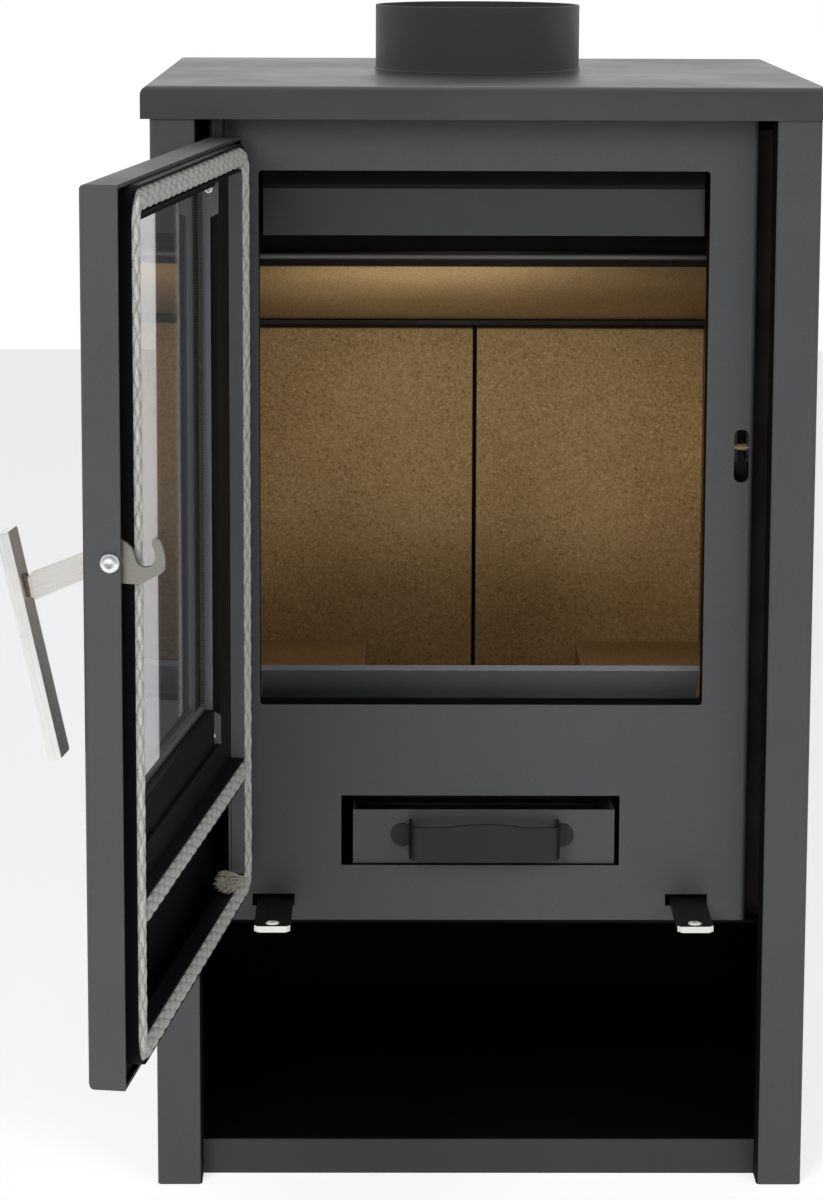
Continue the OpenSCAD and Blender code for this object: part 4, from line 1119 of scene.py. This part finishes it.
# Turns of the camera from straight down, degrees
CAMERA_TURNS = ((-0.43, "Z"), (81.82, "X"), (0.2, "Z"))
FOCAL_LENGTH = 96.231
FRAME_SHIFT = -0.2

# Name, place, target, size and power of each lamp
LAMPS = (
    ("key_light", (-1.05, -2.45, 1.5), (0.05, -0.1, 0.45), (0.9, 1.2), 36),
    ("fill_light", (1.5, -2.0, 1.6), (0, -0.1, 0.5), (1.2, 1.2), 15),
    ("paper_bounce", (0.15, -2.0, 0.16), (0.02, 0, 0.42), (1.3, 0.4), 3),
    ("fire_light", (-0.045, -0.112, 0.58), (-0.03, 0.126, 0.48), (0.19, 0.03), 0.19),
)
# Strength of the world's light on the object, what gloss sees behind the photographer, and the
# span of directions, as Y, over which that brightens to white
WORLD_LIGHT = 0.15
ROOM_GLOSS = 0.36
ROOM_SPAN = (-0.75, 0.05)


def front_camera():
    """Eye a little above the stove, a long lens, a lowered frame as in the photograph."""
    lens = bpy.data.cameras.new("front_camera")
    lens.sensor_fit = "VERTICAL"
    lens.sensor_height = 36
    lens.lens = FOCAL_LENGTH
    lens.shift_y = FRAME_SHIFT
    lens.clip_end = 50
    camera = placed("front_camera", lens)
    pan, pitch, roll = (Matrix.Rotation(math.radians(angle), 4, axis)
                        for angle, axis in CAMERA_TURNS)
    camera.matrix_world = Matrix.Translation(CAMERA_PLACE) @ (pan @ pitch @ roll)
    scene.camera = camera


def soft_box(name, place, target, size, power):
    """Area light that the eye and the gloss don't see."""
    light = bpy.data.lights.new(name, "AREA")
    light.shape = "RECTANGLE"
    light.size, light.size_y = size
    light.energy = power
    lamp = placed(name, light)
    lamp.location = place
    way = Vector(target) - Vector(place)
    lamp.rotation_euler = way.to_track_quat("-Z", "Y").to_euler()
    lamp.visible_glossy = False
    lamp.visible_camera = False
    lamp.visible_transmission = False


def seen_straight(tree, gloss=1.0):
    """1 for rays from the camera or through glass, gloss for rays off gloss, 0 for light."""
    path = add(tree, "LightPath")
    off_gloss = maths(tree, "MULTIPLY", path.outputs["Is Glossy Ray"], gloss)
    straight = maths(tree, "MAXIMUM", path.outputs["Is Camera Ray"], off_gloss)
    return maths(tree, "MAXIMUM", straight, path.outputs["Is Transmission Ray"])


def white_studio():
    """White all round for the eye, a dimmer room for gloss that looks back, plain light."""
    world = bpy.data.worlds.new("studio")
    scene.world = world
    world.use_nodes = True
    tree = world.node_tree
    tree.nodes.clear()
    light = add(tree, "Background", Color=(0.97, 0.98, 1, 1), Strength=WORLD_LIGHT)
    white = add(tree, "Background", Color=WHITE, Strength=1.0)
    way = add(tree, "SeparateXYZ", Vector=add(tree, "TexCoord").outputs["Generated"])
    backdrop = ranged(tree, way.outputs["Y"], *ROOM_SPAN, ROOM_GLOSS, 1.0)
    seen = seen_straight(tree, backdrop)
    out = add(tree, "OutputWorld")
    tree.links.new(mixed_shaders(tree, seen, light.outputs[0], white.outputs[0]),
                   out.inputs["Surface"])
    for lamp in LAMPS:
        soft_box(*lamp)


def white_floor():
    """Wide floor that stays white to the eye and keeps a soft shadow under the stove."""
    bpy.ops.mesh.primitive_plane_add(size=8)
    floor = bpy.context.object
    floor.name = "floor"
    paper = bpy.data.materials.new("white_paper")
    paper.use_nodes = True
    tree = paper.node_tree
    tree.nodes.clear()
    matt = add(tree, "BsdfDiffuse", Color=(0.62, 0.62, 0.62, 1))
    glow = add(tree, "Emission", Color=(0.72, 0.72, 0.73, 1), Strength=1.0)
    dark = add(tree, "Emission", Color=WHITE, Strength=0.0)
    lit = mixed_shaders(tree, seen_straight(tree), dark.outputs[0], glow.outputs[0])
    both = add(tree, "AddShader")
    tree.links.new(matt.outputs[0], both.inputs[0])
    tree.links.new(lit, both.inputs[1])
    out = add(tree, "OutputMaterial")
    tree.links.new(both.outputs[0], out.inputs["Surface"])
    floor.data.materials.append(paper)


dress_sheets()
bare_ended_lever("primary_air_lever")
bare_ended_lever("secondary_air_lever")
lay_bricks()
braided_ropes()
frayed_tail()
fasten()
weld_bead()

front_camera()
white_studio()
white_floor()
